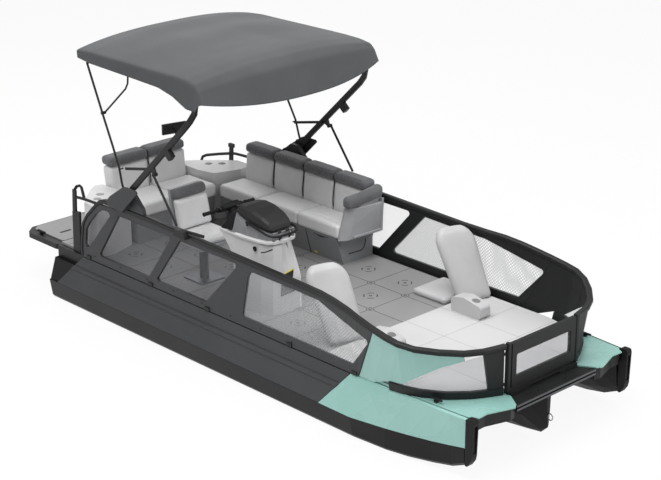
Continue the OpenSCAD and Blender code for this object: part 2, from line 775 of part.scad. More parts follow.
// bar of the given section along a path that lies nearly in the X-Z plane
module ribbon(path, profile) {
  loft([for (i = [0 : len(path) - 1])
    let (a = path[max(i - 1, 0)], b = path[min(i + 1, len(path) - 1)],
      d = [b[0] - a[0], 0, b[2] - a[2]] / norm([b[0] - a[0], b[2] - a[2]]))
    [for (q = profile) path[i] + [-d[2], 0, d[0]] * q[0] + [0, q[1], 0]]]);
}
function ring(r, n = 12) = [for (i = [0 : n - 1]) [r * cos(360 * i / n), r * sin(360 * i / n)]];

// tube across the boat, arched up towards the middle
module cross_tube(x, z, y, rise, r) {
  loft([for (i = [-8 : 8]) let (u = i / 8)
    [for (q = ring(r)) [x + q[0], y * u, z + rise * (1 - u * u) + q[1]]]]);
}

module pin_y(x, z, r, y0, y1) {
  translate([x, y0, z]) rotate([-90, 0, 0]) cylinder(r = r, h = y1 - y0);
}

fin_outline = [[-1665, 1320], [-1600, 1385], [-1390, 1525], [-1350, 1540], [-1175, 1540],
  [-1156, 1520], [-1422, 1262], [-1640, 1275]];

module arm_brackets() {
  color("#3a3b3d") placed() both() difference() {
    union() {
      slab_xz(1062, 1106) polygon([[-1640, 1273], [-1180, 1272], [-1200, 1330], [-1340, 1465],
        [-1440, 1465], [-1600, 1340]]);
      slab_xz(1100, 1180) polygon([[-1640, 1275], [-1422, 1262], [-1350, 1330], [-1350, 1374],
        [-1590, 1374], [-1640, 1330]]);
      slab_xz(1176, 1184) polygon(fin_outline);
      pin_y(arm_pivot_x, arm_pivot_z, 10, 1100, 1178);
    }
    slab_xz(1000, 1114) polygon([[-1700, 1200], [-1100, 1200], [-1100, 1273.4], [-1700, 1275.8]]);
  }
}

arm_path = [[-1360, arm_y, 1459], [-560, arm_y, 2224], [-470, arm_y, 2310],
  [-400, arm_y - 12, 2390], [-360, arm_y - 36, 2468], [-344, arm_y - 38, 2560]];
arm_section = [[-24, -18], [24, -18], [29, -13], [29, 13], [24, 18], [-24, 18], [-29, 13],
  [-29, -13]];

module sun_arms() {
  color("#3b3c3e") placed() {
    both() difference() {
      union() {
        pin_y(arm_pivot_x, arm_pivot_z, 30, 1114, 1150);
        ribbon(concat([[arm_pivot_x, arm_y, arm_pivot_z]], arm_path), arm_section);
        // lugs for the rear pole and for the strut
        pin_y(rear_x, rear_z, 20, 1114, 1150);
        slab_xz(1114, 1150) polygon([[-1415, 1488], [-1375, 1488], [-1350, 1450],
          [-1415, 1430]]);
        pin_y(rear_x, rear_z, 7, 1150, 1172);
        pin_y(strut_x, strut_z, 18, 1118, 1146);
        slab_xz(1118, 1146) polygon([[-942, 1757], [-912, 1745], [-945, 1830], [-1010, 1790]]);
        pin_y(strut_x, strut_z, 7, 1146, 1168);
        pin_y(stay_x, stay_z, 7, 1101, 1114);
        // collar
        slab_xz(1108, 1156) polygon([[-755, 2002], [-705, 2058], [-640, 2002], [-690, 1950]]);
      }
      pin_y(arm_pivot_x, arm_pivot_z, 10.05, 1080, 1170);
    }
    cross_tube(-318, 2588, 1094, 132, 16);
  }
}

module mirror_box() {
  color("#232426") placed() {
    translate([-800, -989, 2215]) rotate([0, 0, -13]) cube([24, 246, 100], center = true);
    bar([-606, -1104, 2187], [-788, -1000, 2215], 8);
  }
}

module struts() {
  color("#333436") placed() both() difference() {
    union() {
      pin_y(strut_x, strut_z, 18, 1151, 1165);
      bar([strut_x, 1158, strut_z], [-600, 1158, 1336], 12);
    }
    pin_y(strut_x, strut_z, 7.05, 1140, 1180);
  }
}

module strut_clamps() {
  color("#242527") placed() both() {
    slab_xz(1112, 1172) polygon([[-650, 1230], [-470, 1226], [-500, 1290], [-560, 1302],
      [-620, 1302]]);
    bar([-540, 1112, 1284], [-300, 1080, 1284], 16);
  }
}

module stays() {
  color("#4a4b4d") placed() both() difference() {
    union() {
      pin_y(stay_x, stay_z, 16, 1103, 1111);
      slab_xz(1103, 1111) polygon([[-1016, 1770], [-1016, 1798], [-1432, 1704], [-1426, 1678]]);
    }
    pin_y(stay_x, stay_z, 7.05, 1090, 1120);
  }
}

pole_path = [[-1400, pole_y, 1500], [-1425, pole_y, 1570], [-1460, 1157, 1700],
  [-1560, 1146, 1890], [mid_x, 1130, mid_z], [-1976, 1102, 2636]];

module rear_bow() {
  color("#2c2d2f") placed() {
    both() difference() {
      union() {
        pin_y(rear_x, rear_z, 18, 1151, 1171);
        ribbon(pole_path, ring(11));
        pin_y(mid_x, mid_z, 16, 1112, 1140);
        pin_y(mid_x, mid_z, 6, 1092, 1114);
        pin_y(-1456, 1690, 7, 1113, 1150);
      }
      pin_y(rear_x, rear_z, 7.05, 1140, 1180);
    }
    cross_tube(-1980, 2636, 1104, 158, 13);
  }
}

mid_path = [[mid_x, 1100, mid_z], [-1560, 1100, 2340], [-1380, 1099, 2500], [-1345, 1098, 2560],
  [-1340, 1096, 2632]];

module mid_bow() {
  color("#2c2d2f") placed() {
    both() difference() {
      union() {
        pin_y(mid_x, mid_z, 15, 1094, 1109);
        ribbon(mid_path, ring(9));
      }
      pin_y(mid_x, mid_z, 6.05, 1080, 1120);
    }
    cross_tube(-1340, 2632, 1096, 190, 11);
  }
}

// canopy skin: x, hem, shoulder, crown, half width
canopy_st = [
  [-2165, 2700, 2722, 2800, 1085], [-2125, 2668, 2748, 2842, 1118],
  [-1900, 2650, 2764, 2870, 1128], [-1336, 2638, 2768, 2884, 1130],
  [-852, 2624, 2775, 2880, 1130], [-640, 2580, 2776, 2872, 1130],
  [-447, 2500, 2770, 2856, 1132], [-310, 2500, 2750, 2832, 1134],
  [-262, 2548, 2702, 2776, 1136], [-205, 2574, 2588, 2496, 1138]];

function canopy_arc(s, d) = [
  [s[0] - (s[0] > -300 ? 40 : 0), 4 - s[4] + d, s[1]],
  each [for (i = [-6 : 6]) let (u = i / 6)
    [s[0] + 185 * (1 - u * u) * max(0, (s[0] + 310) / 105), (s[4] - d) * u,
      lerp(s[3], s[2], pow(abs(u), 2.6)) - d]],
  [s[0] - (s[0] > -300 ? 40 : 0), s[4] - 4 - d, s[1]]];

module canopy() {
  color("#5f6062") placed() loft([for (s = canopy_st)
    concat(canopy_arc(s, 0), [for (i = [14 : -1 : 0]) canopy_arc(s, canopy_t)[i]])],
    [for (j = [15 : 28]) j]);
}

module aft_rails() {
  color("#202123") placed() {
    both() {
      slab_xz(1036, 1060) polygon([[-2440, 550], [-2325, 550], [-2306, 1004], [-2428, 986]]);
      slab_xz(1037, 1059) polygon([[-2424, 980], [-2372, 980], [-2360, 1218], [-2410, 1226]]);
      ribbon([[-2412, 1044, 1142], [-2300, 1044, 1156], [-2160, 1044, 1164],
        [-2040, 1044, 1166]], ring(15));
    }
    // rail beside the way down to the platform
    ribbon([[-2905, 1046, 549], [-2914, 1046, 925], [-2880, 1046, 990], [-2816, 1046, 1022],
      [-2600, 1046, 1085], [-2400, 1046, 1138]], ring(16));
    translate([-2418, 1030, 1214]) cube([72, 34, 40]);
    // grab hoop at the starboard corner
    slab_yz(-2400, -2378) polygon([[-1056, 1180], [-1056, 1225], [-1020, 1262], [-975, 1262],
      [-948, 1230], [-918, 1096], [-942, 1096], [-968, 1222], [-984, 1240], [-1012, 1240],
      [-1034, 1216], [-1034, 1180]]);
  }
}

nozzle_x = -2908;

module jet_pump() {
  color("#303134") placed() difference() {
    union() {
      translate([-2880, 0, 190]) rotate([0, 90, 0]) cylinder(r = 95, h = 240);
      for (z = [102, 264]) translate([-2930, -18, z]) cube([60, 36, 14]);
      translate([nozzle_x, 0, 102]) cylinder(r = 8, h = 44);
      translate([nozzle_x, 0, 234]) cylinder(r = 8, h = 44);
    }
    translate([-2881, 0, 190]) rotate([0, 90, 0]) cylinder(r = 55, h = 160);
  }
}

module jet_nozzle() {
  color("#26272a") placed() difference() {
    translate([-3030, 0, 190]) rotate([0, 90, 0]) cylinder(r1 = 52, r2 = 66, h = 116);
    translate([-3031, 0, 190]) rotate([0, 90, 0]) cylinder(r = 42, h = 118);
    translate([nozzle_x, 0, 100]) cylinder(r = 8.05, h = 180);
  }
}

module engine_block() {
  color("#55575a") placed() translate([-2290, -200, 130]) cube([780, 400, 240]);
}

// horn cleats on the bow deck and at the stern, and a tow eye behind
module deck_hardware() {
  color("#141416") placed() {
    both() for (x = [2612, -3080]) translate([x, x > 0 ? 990 : 1010, x > 0 ? 562 : 548]) {
      translate([-16, -16, 0]) cube([32, 32, 24]);
      translate([-62, -9, 24]) cube([124, 18, 14]);
    }
    difference() {
      union() {
        translate([-3336, -7, 447]) cube([60, 14, 43]);
        translate([-3336, 0, 466]) rotate([90, 0, 0]) cylinder(r = 19, h = 14, center = true);
      }
      translate([-3336, 0, 466]) rotate([90, 0, 0]) cylinder(r = 9, h = 40, center = true);
    }
  }
}

hull_starboard();
hull_port();
hull_center();
side_panel_starboard();
side_panel_port();
bow_cap_starboard();
bow_cap_port();
stem_guards();
deck();
floor_tiles();
bow_pads();
swim_platform();
bow_step();
fence_starboard();
fence_port();
panes_starboard();
panes_port();
mesh_panes();
top_rails();
bow_fence();
bow_panes();
fence_caps();
cap_liners();
gate_posts();
gate_frame();
gate_pane();
console_body();
console_lid();
steering_pod();
handlebar();
helm_pedestal();
helm_seat();
helm_cushions();
sofa_base();
sofa_shell();
sofa_seat();
sofa_backs();
bolsters();
bench_base();
bench_seat();
bench_back();
corner_consoles();
slab_pad();
chaise_backs();
armrest_boxes();
arm_brackets();
sun_arms();
rear_bow();
canopy();
aft_rails();
jet_pump();
jet_nozzle();
engine_block();
deck_hardware();
mid_bow();
stays();
struts();
strut_clamps();
mirror_box();
fence_clips();
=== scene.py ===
"""Pontoon boat: three-hull moulded boat with a fenced deck, lounge, helm and folding sun top."""

import math

import bpy
import numpy as np
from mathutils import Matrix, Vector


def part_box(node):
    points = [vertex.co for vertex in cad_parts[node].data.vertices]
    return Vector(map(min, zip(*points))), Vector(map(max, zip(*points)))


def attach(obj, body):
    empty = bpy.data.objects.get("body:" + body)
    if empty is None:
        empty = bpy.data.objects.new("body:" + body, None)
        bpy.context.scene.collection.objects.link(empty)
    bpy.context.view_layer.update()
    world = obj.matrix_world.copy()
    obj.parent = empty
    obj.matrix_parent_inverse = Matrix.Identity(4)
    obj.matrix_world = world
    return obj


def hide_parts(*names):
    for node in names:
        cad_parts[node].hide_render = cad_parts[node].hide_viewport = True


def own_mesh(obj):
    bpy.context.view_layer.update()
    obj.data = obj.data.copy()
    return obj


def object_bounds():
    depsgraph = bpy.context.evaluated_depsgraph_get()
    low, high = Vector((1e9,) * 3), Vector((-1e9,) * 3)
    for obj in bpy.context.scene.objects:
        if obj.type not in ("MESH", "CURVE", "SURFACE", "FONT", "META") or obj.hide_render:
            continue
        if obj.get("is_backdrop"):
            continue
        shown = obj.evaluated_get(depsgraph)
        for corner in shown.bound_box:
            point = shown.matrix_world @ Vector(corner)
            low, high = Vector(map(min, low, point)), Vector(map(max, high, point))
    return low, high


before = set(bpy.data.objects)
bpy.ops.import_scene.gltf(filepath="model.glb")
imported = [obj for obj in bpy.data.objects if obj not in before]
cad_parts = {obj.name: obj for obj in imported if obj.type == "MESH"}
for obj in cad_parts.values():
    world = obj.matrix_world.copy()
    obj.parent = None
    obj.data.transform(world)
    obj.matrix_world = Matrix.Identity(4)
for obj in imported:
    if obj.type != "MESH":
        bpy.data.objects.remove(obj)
CAD_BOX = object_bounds()

# ---- camera and studio ----
# A long lens stands off the starboard bow at the height of a first-floor window.
# The floor is a pale seamless sweep under two large soft lamps.


def linear(text):
    """sRGB hex to linear RGB: c/12.92 below 0.04045, ((c + 0.055)/1.055)^2.4 above."""
    c = np.array([int(text[i : i + 2], 16) for i in (1, 3, 5)]) / 255
    return tuple(np.where(c > 0.04045, ((c + 0.055) / 1.055) ** 2.4, c / 12.92)) + (1.0,)


def add(tree, kind, links=(), **settings):
    """Adds one node: settings are its properties or its inputs, links are (input, socket)."""
    node = tree.nodes.new(kind)
    for key, value in settings.items():
        name = key.replace("_", " ")
        if hasattr(node, key):
            setattr(node, key, value)
        elif key.startswith("in") and key[2:].isdigit():
            node.inputs[int(key[2:])].default_value = value
        else:
            node.inputs[name].default_value = value
    for key, socket in links:
        tree.links.new(socket, node.inputs[key])
    return node

def blank(name):
    """A new material with an empty node tree, and that tree."""
    made = bpy.data.materials.new(name)
    made.use_nodes = True
    made.node_tree.nodes.clear()
    return made, made.node_tree


camera = bpy.data.cameras.new("camera")
camera.lens = 96.487
camera.sensor_width = 36
camera.shift_x = -0.01377
camera.shift_y = -0.0154
camera.clip_end = 200
camera_object = bpy.data.objects.new("camera", camera)
camera_object.location = (11.8547, -10.8926, 7.0972)
camera_object.rotation_euler = [math.radians(a) for a in (69.6446, 0.052, 46.1209)]
bpy.context.scene.collection.objects.link(camera_object)
bpy.context.scene.camera = camera_object

scene = bpy.context.scene
scene.view_settings.view_transform = "Standard"

SKY_LEVEL = 0.45  # the sky's light on the boat; seen directly or through a window it is white

world = bpy.data.worlds.new("studio")
scene.world = world
world.use_nodes = True
sky = world.node_tree
sky.nodes.clear()
rays = add(sky, "ShaderNodeLightPath")
plain = add(sky, "ShaderNodeBackground", Color=linear("#ffffff"), Strength=SKY_LEVEL)
white = add(sky, "ShaderNodeBackground", Color=linear("#ffffff"), Strength=1.0)
seen = add(sky, "ShaderNodeMath", [(0, rays.outputs["Is Camera Ray"]),
           (1, rays.outputs["Is Transmission Ray"])], operation="MAXIMUM")
both_ways = add(sky, "ShaderNodeMixShader", [(0, seen.outputs[0]), (1, plain.outputs[0]),
                (2, white.outputs[0])])
add(sky, "ShaderNodeOutputWorld", [("Surface", both_ways.outputs[0])])

FLOOR_WHITE = 0.92  # share of plain white in the floor as seen; the rest keeps the shadow
HALF = 60  # metres from the middle of the floor to its edge

floor_mesh = bpy.data.meshes.new("floor")
floor_mesh.from_pydata([(-HALF, -HALF, 0), (HALF, -HALF, 0), (HALF, HALF, 0), (-HALF, HALF, 0)],
                       [], [(0, 1, 2, 3)])
floor = bpy.data.objects.new("floor", floor_mesh)
scene.collection.objects.link(floor)
floor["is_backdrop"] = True
# painted seamless sweep: matt pale grey that takes the boat's soft shadow
floor_paint, tree = blank("studio floor")
rays = add(tree, "ShaderNodeLightPath")
matte = add(tree, "ShaderNodeBsdfDiffuse", Color=linear("#e9e9e9"))
glow = add(tree, "ShaderNodeEmission", Color=linear("#ffffff"), Strength=1.0)
seen = add(tree, "ShaderNodeMath", [(0, rays.outputs["Is Camera Ray"]),
           (1, rays.outputs["Is Glossy Ray"])], operation="MAXIMUM")
share = add(tree, "ShaderNodeMath", [(0, seen.outputs[0])], operation="MULTIPLY", in1=FLOOR_WHITE)
mixed = add(tree, "ShaderNodeMixShader", [(0, share.outputs[0]), (1, matte.outputs[0]),
            (2, glow.outputs[0])])
add(tree, "ShaderNodeOutputMaterial", [("Surface", mixed.outputs[0])])
floor.data.materials.append(floor_paint)

LAMPS_AIM = np.array((0, 0, 0.8))
for lamp_name, place, size, watts in (
    ("key lamp", (1.5, -3.5, 10.5), 8.0, 1120),
    ("fill lamp", (9.0, 5.0, 8.0), 7.0, 420),
    ("back lamp", (-8.0, 3.0, 8.0), 7.0, 330),
):
    lamp = bpy.data.lights.new(lamp_name, "AREA")
    lamp.size = size
    lamp.energy = watts
    lamp_object = bpy.data.objects.new(lamp_name, lamp)
    away = np.array(place) - LAMPS_AIM
    tilt = math.atan2(math.hypot(away[0], away[1]), away[2])
    lamp_object.location = place
    lamp_object.rotation_euler = (tilt, 0, math.atan2(away[1], away[0]) + math.pi / 2)
    scene.collection.objects.link(lamp_object)


# ---- hulls ----
# Two side hulls and a centre hull are rotomoulded in black polyethylene and bolted up under
# the deck.  The mould leaves a fine grain that breaks up every highlight.


def finish(name, hex_a, hex_b, rough, grain_mm, depth_mm, metal=0.0, coat=0.0, shine=0.5):
    """A moulded, coated or painted surface.  Colour: two tones mixed by noise in slow patches
    plus a third as much noise of the grain's size.  Bump: height = depth * noise(p / grain)."""
    patch_mm = 900.0
    made, t = blank(name)
    where = add(t, "ShaderNodeTexCoord")
    slow = add(t, "ShaderNodeTexNoise", [("Vector", where.outputs["Object"])],
               Scale=1000 / patch_mm, Detail=3.0, Roughness=0.6)
    fine = add(t, "ShaderNodeTexNoise", [("Vector", where.outputs["Object"])],
               Scale=1000 / grain_mm, Detail=2.0, Roughness=0.5)
    spread = add(t, "ShaderNodeMapRange", [("Value", slow.outputs[0])], in1=0.3, in2=0.7)
    speck = add(t, "ShaderNodeMapRange", [("Value", fine.outputs[0])], in1=0.35, in2=0.65,
                in3=0.0, in4=0.35)
    total = add(t, "ShaderNodeMath", [(0, spread.outputs[0]), (1, speck.outputs[0])],
                operation="ADD", use_clamp=True)
    colour = add(t, "ShaderNodeMix", [("Factor", total.outputs[0])], data_type="RGBA",
                 in6=linear(hex_a), in7=linear(hex_b))
    gloss = add(t, "ShaderNodeMapRange", [("Value", slow.outputs[0])], in1=0.3, in2=0.7,
                in3=rough - 0.05, in4=rough + 0.06)
    bump = add(t, "ShaderNodeBump", [("Height", fine.outputs[0])], Strength=0.6,
               Distance=depth_mm / 1000)
    shader = add(t, "ShaderNodeBsdfPrincipled", [("Base Color", colour.outputs[2]),
                 ("Roughness", gloss.outputs[0]), ("Normal", bump.outputs[0])], Metallic=metal,
                 Coat_Weight=coat, Coat_Roughness=0.12, Specular_IOR_Level=shine)
    add(t, "ShaderNodeOutputMaterial", [("Surface", shader.outputs[0])])
    return made


def dress(material, *nodes):
    """Gives CAD nodes their material, smooth over curves and sharp past 0.4 radians."""
    for n in nodes:
        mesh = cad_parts[n].data
        mesh.materials.clear()
        mesh.materials.append(material)
        mesh.shade_smooth()
        mesh.set_sharp_from_angle(angle=0.4)


# rotomoulded polyethylene: deep black, half matt, with a broken highlight
hull_plastic = finish("moulded black hull plastic", "#0b0b0c", "#131315", 0.42, 6.0, 0.25,
                      shine=0.25)
dress(hull_plastic, "hull_starboard", "hull_port", "hull_center")

# ---- side panels, bow caps and stem guards ----
# Grey moulded panels clad the outer hulls.  Teal gelcoat caps close the bows and the fence's
# front corners, and soft black guards are screwed over the stems.

# through-coloured moulded panel: an even dark grey with a low sheen
panel_paint = finish("dark grey moulded side", "#343537", "#3e3f41", 0.38, 5.0, 0.15, shine=0.35)
dress(panel_paint, "side_panel_starboard", "side_panel_port")
# gelcoat laid in a polished mould: clean teal under a clear glossy skin
cap_gloss = finish("teal gelcoat", "#86b4ac", "#90bdb5", 0.25, 8.0, 0.05, coat=0.4)
dress(cap_gloss, "bow_cap_starboard", "bow_cap_port", "fence_caps")
# moulded rubber: black and dry, with no clear reflection
guard_rubber = finish("black guard rubber", "#101011", "#171718", 0.6, 3.0, 0.2, shine=0.25)
dress(guard_rubber, "stem_guards")

# ---- deck, step and platform ----
# A welded aluminium deck carries the bow step and the swim platform, all powder coated, with
# cleats and a tow ring bolted through it.

# baked powder coat on aluminium: near black and satin, with a very fine orange peel
frame_coat = finish("black powder coat", "#161617", "#1f2021", 0.46, 1.6, 0.12, shine=0.3)
dress(frame_coat, "deck", "bow_step", "swim_platform", "cap_liners")
# injection-moulded glass-filled plastic: black, dry, faintly grained
black_plastic = finish("black glass-filled plastic", "#0e0e10", "#161618", 0.48, 2.0, 0.15,
                       shine=0.3)
dress(black_plastic, "deck_hardware")

# ---- engine and jet ----
# A cast iron engine sits inside the centre hull and drives a jet pump, whose nozzle is pinned
# so that it swings with the steering.

# brushed-on engine enamel over cast iron: flat blue-grey
iron = finish("painted engine iron", "#4e5053", "#5c5e61", 0.55, 3.0, 0.4)
dress(iron, "engine_block")
dress(black_plastic, "jet_pump", "jet_nozzle")

# ---- fence, gate and rails ----
# Aluminium extrusions are welded into frames, powder coated and clipped to the deck's edge.
# The gate hangs between two posts at the bow, and bent tube rails close the stern.

dress(frame_coat, "fence_port", "top_rails", "bow_fence", "gate_posts", "gate_frame",
      "aft_rails", "fence_clips")
# the same powder coat in a lighter grey: less contrast with the grey hull side
grey_coat = finish("dark grey powder coat", "#303133", "#393a3c", 0.45, 1.6, 0.12, shine=0.3)
dress(grey_coat, "fence_starboard")

# ---- windows ----
# Acrylic sheets are set into the frames behind a bead.  The long forward ones carry a film
# punched with rows of small holes.


def clear_sheet(name, hex_tint, share, hex_through="#ffffff"):
    """Clear plastic: share of the light is the tinted glossy sheet, the rest goes through."""
    made, t = blank(name)
    through = add(t, "ShaderNodeBsdfTransparent", Color=linear(hex_through))
    sheet = add(t, "ShaderNodeBsdfPrincipled", Base_Color=linear(hex_tint), Roughness=0.12)
    mix = add(t, "ShaderNodeMixShader", [(1, through.outputs[0]), (2, sheet.outputs[0])],
              in0=share)
    add(t, "ShaderNodeOutputMaterial", [("Surface", mix.outputs[0])])
    return made


# cast acrylic: almost unseen, with a thin cool reflection
acrylic = clear_sheet("clear acrylic", "#c9cccd", 0.12)
dress(acrylic, "panes_port")
# cast acrylic with a light smoke in it: dims what stands behind
smoked = clear_sheet("lightly smoked acrylic", "#8a8c8e", 0.12, "#eaeaeb")
dress(smoked, "panes_starboard")
# the bow's sheets are thinner, so the smoke hardly shows
bow_glass = clear_sheet("bow window acrylic", "#b5b7b8", 0.12, "#f4f4f5")
dress(bow_glass, "bow_panes", "gate_pane")
# punched vinyl film: rows of pale spots on a 24 mm lattice turned by 45 degrees, drawn coarser
# than real perforations so that they show
film = clear_sheet("perforated film", "#a9abad", 0.1)
film_mix = next(n for n in film.node_tree.nodes if n.type == "MIX_SHADER")
where = add(film.node_tree, "ShaderNodeTexCoord")
turned = add(film.node_tree, "ShaderNodeMapping", [("Vector", where.outputs["Object"])],
             Rotation=(0, math.radians(45), 0))
rows = add(film.node_tree, "ShaderNodeTexVoronoi", [("Vector", turned.outputs[0])], Scale=42.0,
           Randomness=0.0)
spot = add(film.node_tree, "ShaderNodeMapRange", [("Value", rows.outputs[0])], in1=0.30, in2=0.42,
           in3=0.08, in4=0.30)
film.node_tree.links.new(spot.outputs[0], film_mix.inputs[0])
dress(film, "mesh_panes")

# ---- floor ----
# Square tiles of grey moulded plastic cover the deck, and white closed-cell foam the bow.  A
# routed groove parts them, and each tile has pressed marks where an accessory anchors.

SUNK = 0.001  # how far a mark's underside lies inside the floor
floor_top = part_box("floor_tiles")[1][2]
pad_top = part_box("bow_pads")[1][2]


def make(name, points, faces, material, body, slot, smooth=True):
    """A finished mesh piece at the origin, riding on a CAD body."""
    mesh = bpy.data.meshes.new(name)
    mesh.from_pydata(np.asarray(points).reshape(-1, 3).tolist(), [],
                     [list(map(int, f)) for f in faces])
    mesh.validate()
    if smooth:
        mesh.shade_smooth()
    mesh.materials.append(material)
    piece = bpy.data.objects.new(name, mesh)
    scene.collection.objects.link(piece)
    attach(piece, body)
    return piece


def lattice(rows, columns, close_rows=False, close_columns=False):
    """Quads of a grid of points: (i, j), (i+1, j), (i+1, j+1), (i, j+1), wrapping where closed."""
    i = np.arange(rows if close_rows else rows - 1)[:, None]
    j = np.arange(columns if close_columns else columns - 1)[None, :]
    i2, j2 = (i + 1) % rows, (j + 1) % columns
    quads = [i * columns + j, i2 * columns + j, i2 * columns + j2, i * columns + j2]
    return np.stack([q + 0 * i + 0 * j for q in quads], -1).reshape(-1, 4)


def slabs(low, high):
    """Closed boxes from low to high corners, (n, 3) each: corner = low + bit * (high - low)."""
    low, high = np.atleast_2d(low), np.atleast_2d(high)
    bits = np.array([[0, 0, 0], [1, 0, 0], [1, 1, 0], [0, 1, 0],
                     [0, 0, 1], [1, 0, 1], [1, 1, 1], [0, 1, 1]])
    points = low[:, None] + bits[None] * (high - low)[:, None]
    sides = np.array([[0, 3, 2, 1], [4, 5, 6, 7], [0, 1, 5, 4],
                      [1, 2, 6, 5], [2, 3, 7, 6], [3, 0, 4, 7]])
    return points.reshape(-1, 3), (np.arange(len(low))[:, None, None] * 8 + sides).reshape(-1, 4)


def arcs(centres, radius, width, start, end, high, steps=10):
    """Flat curved bars on every centre: r = radius +- width / 2, angle from start to end, and z
    from just under the floor to high above it."""
    a = np.radians(np.linspace(start, end, steps))
    profile = np.array([[-1, -SUNK], [1, -SUNK], [1, high], [-1, high]]) + [0, floor_top]
    r = radius + profile[:, 0] * width / 2
    ring = np.stack([r[None] * np.cos(a)[:, None], r[None] * np.sin(a)[:, None],
                     np.broadcast_to(profile[:, 1], (steps, 4))], -1)
    points = np.asarray(centres)[:, None, None] * [1, 1, 0] + ring[None]
    last = 4 * steps
    faces = np.concatenate([lattice(steps, 4, False, True)[:, ::-1], [[0, 1, 2, 3]],
                            [[last - 1, last - 2, last - 3, last - 4]]])
    n = np.arange(len(points))[:, None, None] * last
    return points.reshape(-1, 3), (n + faces[None]).reshape(-1, 4)


def grooves(along_y, along_ends, across_x, across_half, top):
    """Dark strips 6 mm wide that stand for the grooves: some along the boat between two ends,
    some across it out to a half width each."""
    g, up = 0.003, 0.0006
    along = slabs([[along_ends[0], y - g, top - SUNK] for y in along_y],
                  [[along_ends[1], y + g, top + up] for y in along_y])
    across = slabs([[x - g, -h, top - SUNK] for x, h in zip(across_x, across_half)],
                   [[x + g, h, top + up] for x, h in zip(across_x, across_half)])
    return along, across


def gather(*parts):
    """One mesh out of several (points, faces) pairs."""
    first = np.cumsum([0] + [len(p) for p, _ in parts[:-1]])
    faces = [list(q + k) for (_, f), k in zip(parts, first) for q in f]
    return np.concatenate([p for p, _ in parts]), faces


# moulded non-slip deck plastic: mid grey, matt
floor_plastic = finish("grey deck plastic", "#848484", "#8f8f8f", 0.55, 3.0, 0.4)
dress(floor_plastic, "floor_tiles")
# closed-cell foam: off-white and quite flat, as skinned foam is
pad_foam = finish("white closed-cell foam", "#bababa", "#c4c4c4", 0.75, 2.5, 0.3, shine=0.3)
dress(pad_foam, "bow_pads")
# a groove in shade: dark against the grey tiles, soft grey against the white foam
groove_dark = finish("shadowed groove in floor foam", "#2e2e2f", "#3a3a3b", 0.8, 2.0, 0.1)
groove_pale = finish("shadowed groove in white foam", "#9b9b9b", "#a8a8a8", 0.8, 2.0, 0.1)

# the grooves' own lines along X and Y, and the middles of the rows of tiles between them
tile_x = np.array([-2.455, -1.98, -1.505, -1.03, -0.555, -0.08, 0.468, 0.935])
tile_y = np.array([-0.475, 0.0, 0.475])
row_y = (-0.7125, -0.2375, 0.2375, 0.7125)
cx, cy = np.meshgrid((tile_x[1:] + tile_x[:-1]) / 2, row_y)
centres = np.stack([cx.ravel(), cy.ravel(), 0 * cx.ravel()], -1)
gx, gy = np.meshgrid(tile_x, tile_y)
corners = np.stack([gx.ravel(), gy.ravel(), 0 * gx.ravel()], -1)
marks = [arcs(centres, 0.066, 0.011, q * 90 + 16, q * 90 + 74, 0.0005) for q in range(4)]
dots = [arcs(centres, 0.012, 0.009, q * 180, q * 180 + 175, 0.0005, 7) for q in range(2)]
rings = [arcs(corners, 0.036, 0.009, q * 90 + 25, q * 90 + 65, 0.0006) for q in range(4)]
tile_grooves = grooves(tile_y, (-2.565, 1.4), tile_x, [1.03] * len(tile_x), floor_top)
# the grooves and the pressed marks are all drawn in the painted groove shade
make("floor_marks", *gather(*tile_grooves, *marks, *dots, *rings), groove_dark, "boat",
     "deck_plastic", False)
pad_grooves = grooves(tile_y, (1.403, 2.93), (1.885, 2.36), (1.01, 0.98), pad_top)
make("bow_pad_marks", *gather(*pad_grooves), groove_pale, "boat", "pad_white", False)

# ---- seat bases, consoles and boxes ----
# The lounge stands on moulded boxes with a lofted shell at its end.  Gelcoat corner consoles
# close the stern, and two loose boxes with cup holders sit on the bow pads.

# rotomoulded shell: mid grey with a soft sheen
shell_plastic = finish("mid grey moulded shell", "#96979a", "#a2a3a5", 0.42, 3.0, 0.3)
dress(shell_plastic, "helm_seat", "sofa_shell")
# the same moulding in a darker grey, duller where feet rub it
base_plastic = finish("dark grey moulded base", "#808183", "#8b8c8e", 0.48, 3.0, 0.3)
dress(base_plastic, "sofa_base", "bench_base")
# gelcoat from a polished mould: pale grey with a clear skin
corner_gel = finish("pale grey corner gelcoat", "#cfcfd0", "#dadadb", 0.3, 9.0, 0.05, coat=0.3)
dress(corner_gel, "corner_consoles")
# moulded box: a duller, greyer plastic without the clear skin
box_gel = finish("pale grey moulded box", "#b0b0b1", "#bbbbbc", 0.4, 6.0, 0.1)
dress(box_gel, "armrest_boxes")

# ---- cushions ----
# Seats, backs, bolsters and chaise rests are foam blocks in sewn covers.  The light ones are
# smooth marine vinyl, the dark ones a heather weave, and each is pulled in at its corners.

DATUM = 0.11  # x of the drawing's zero station in this frame; sizes in mm count from it


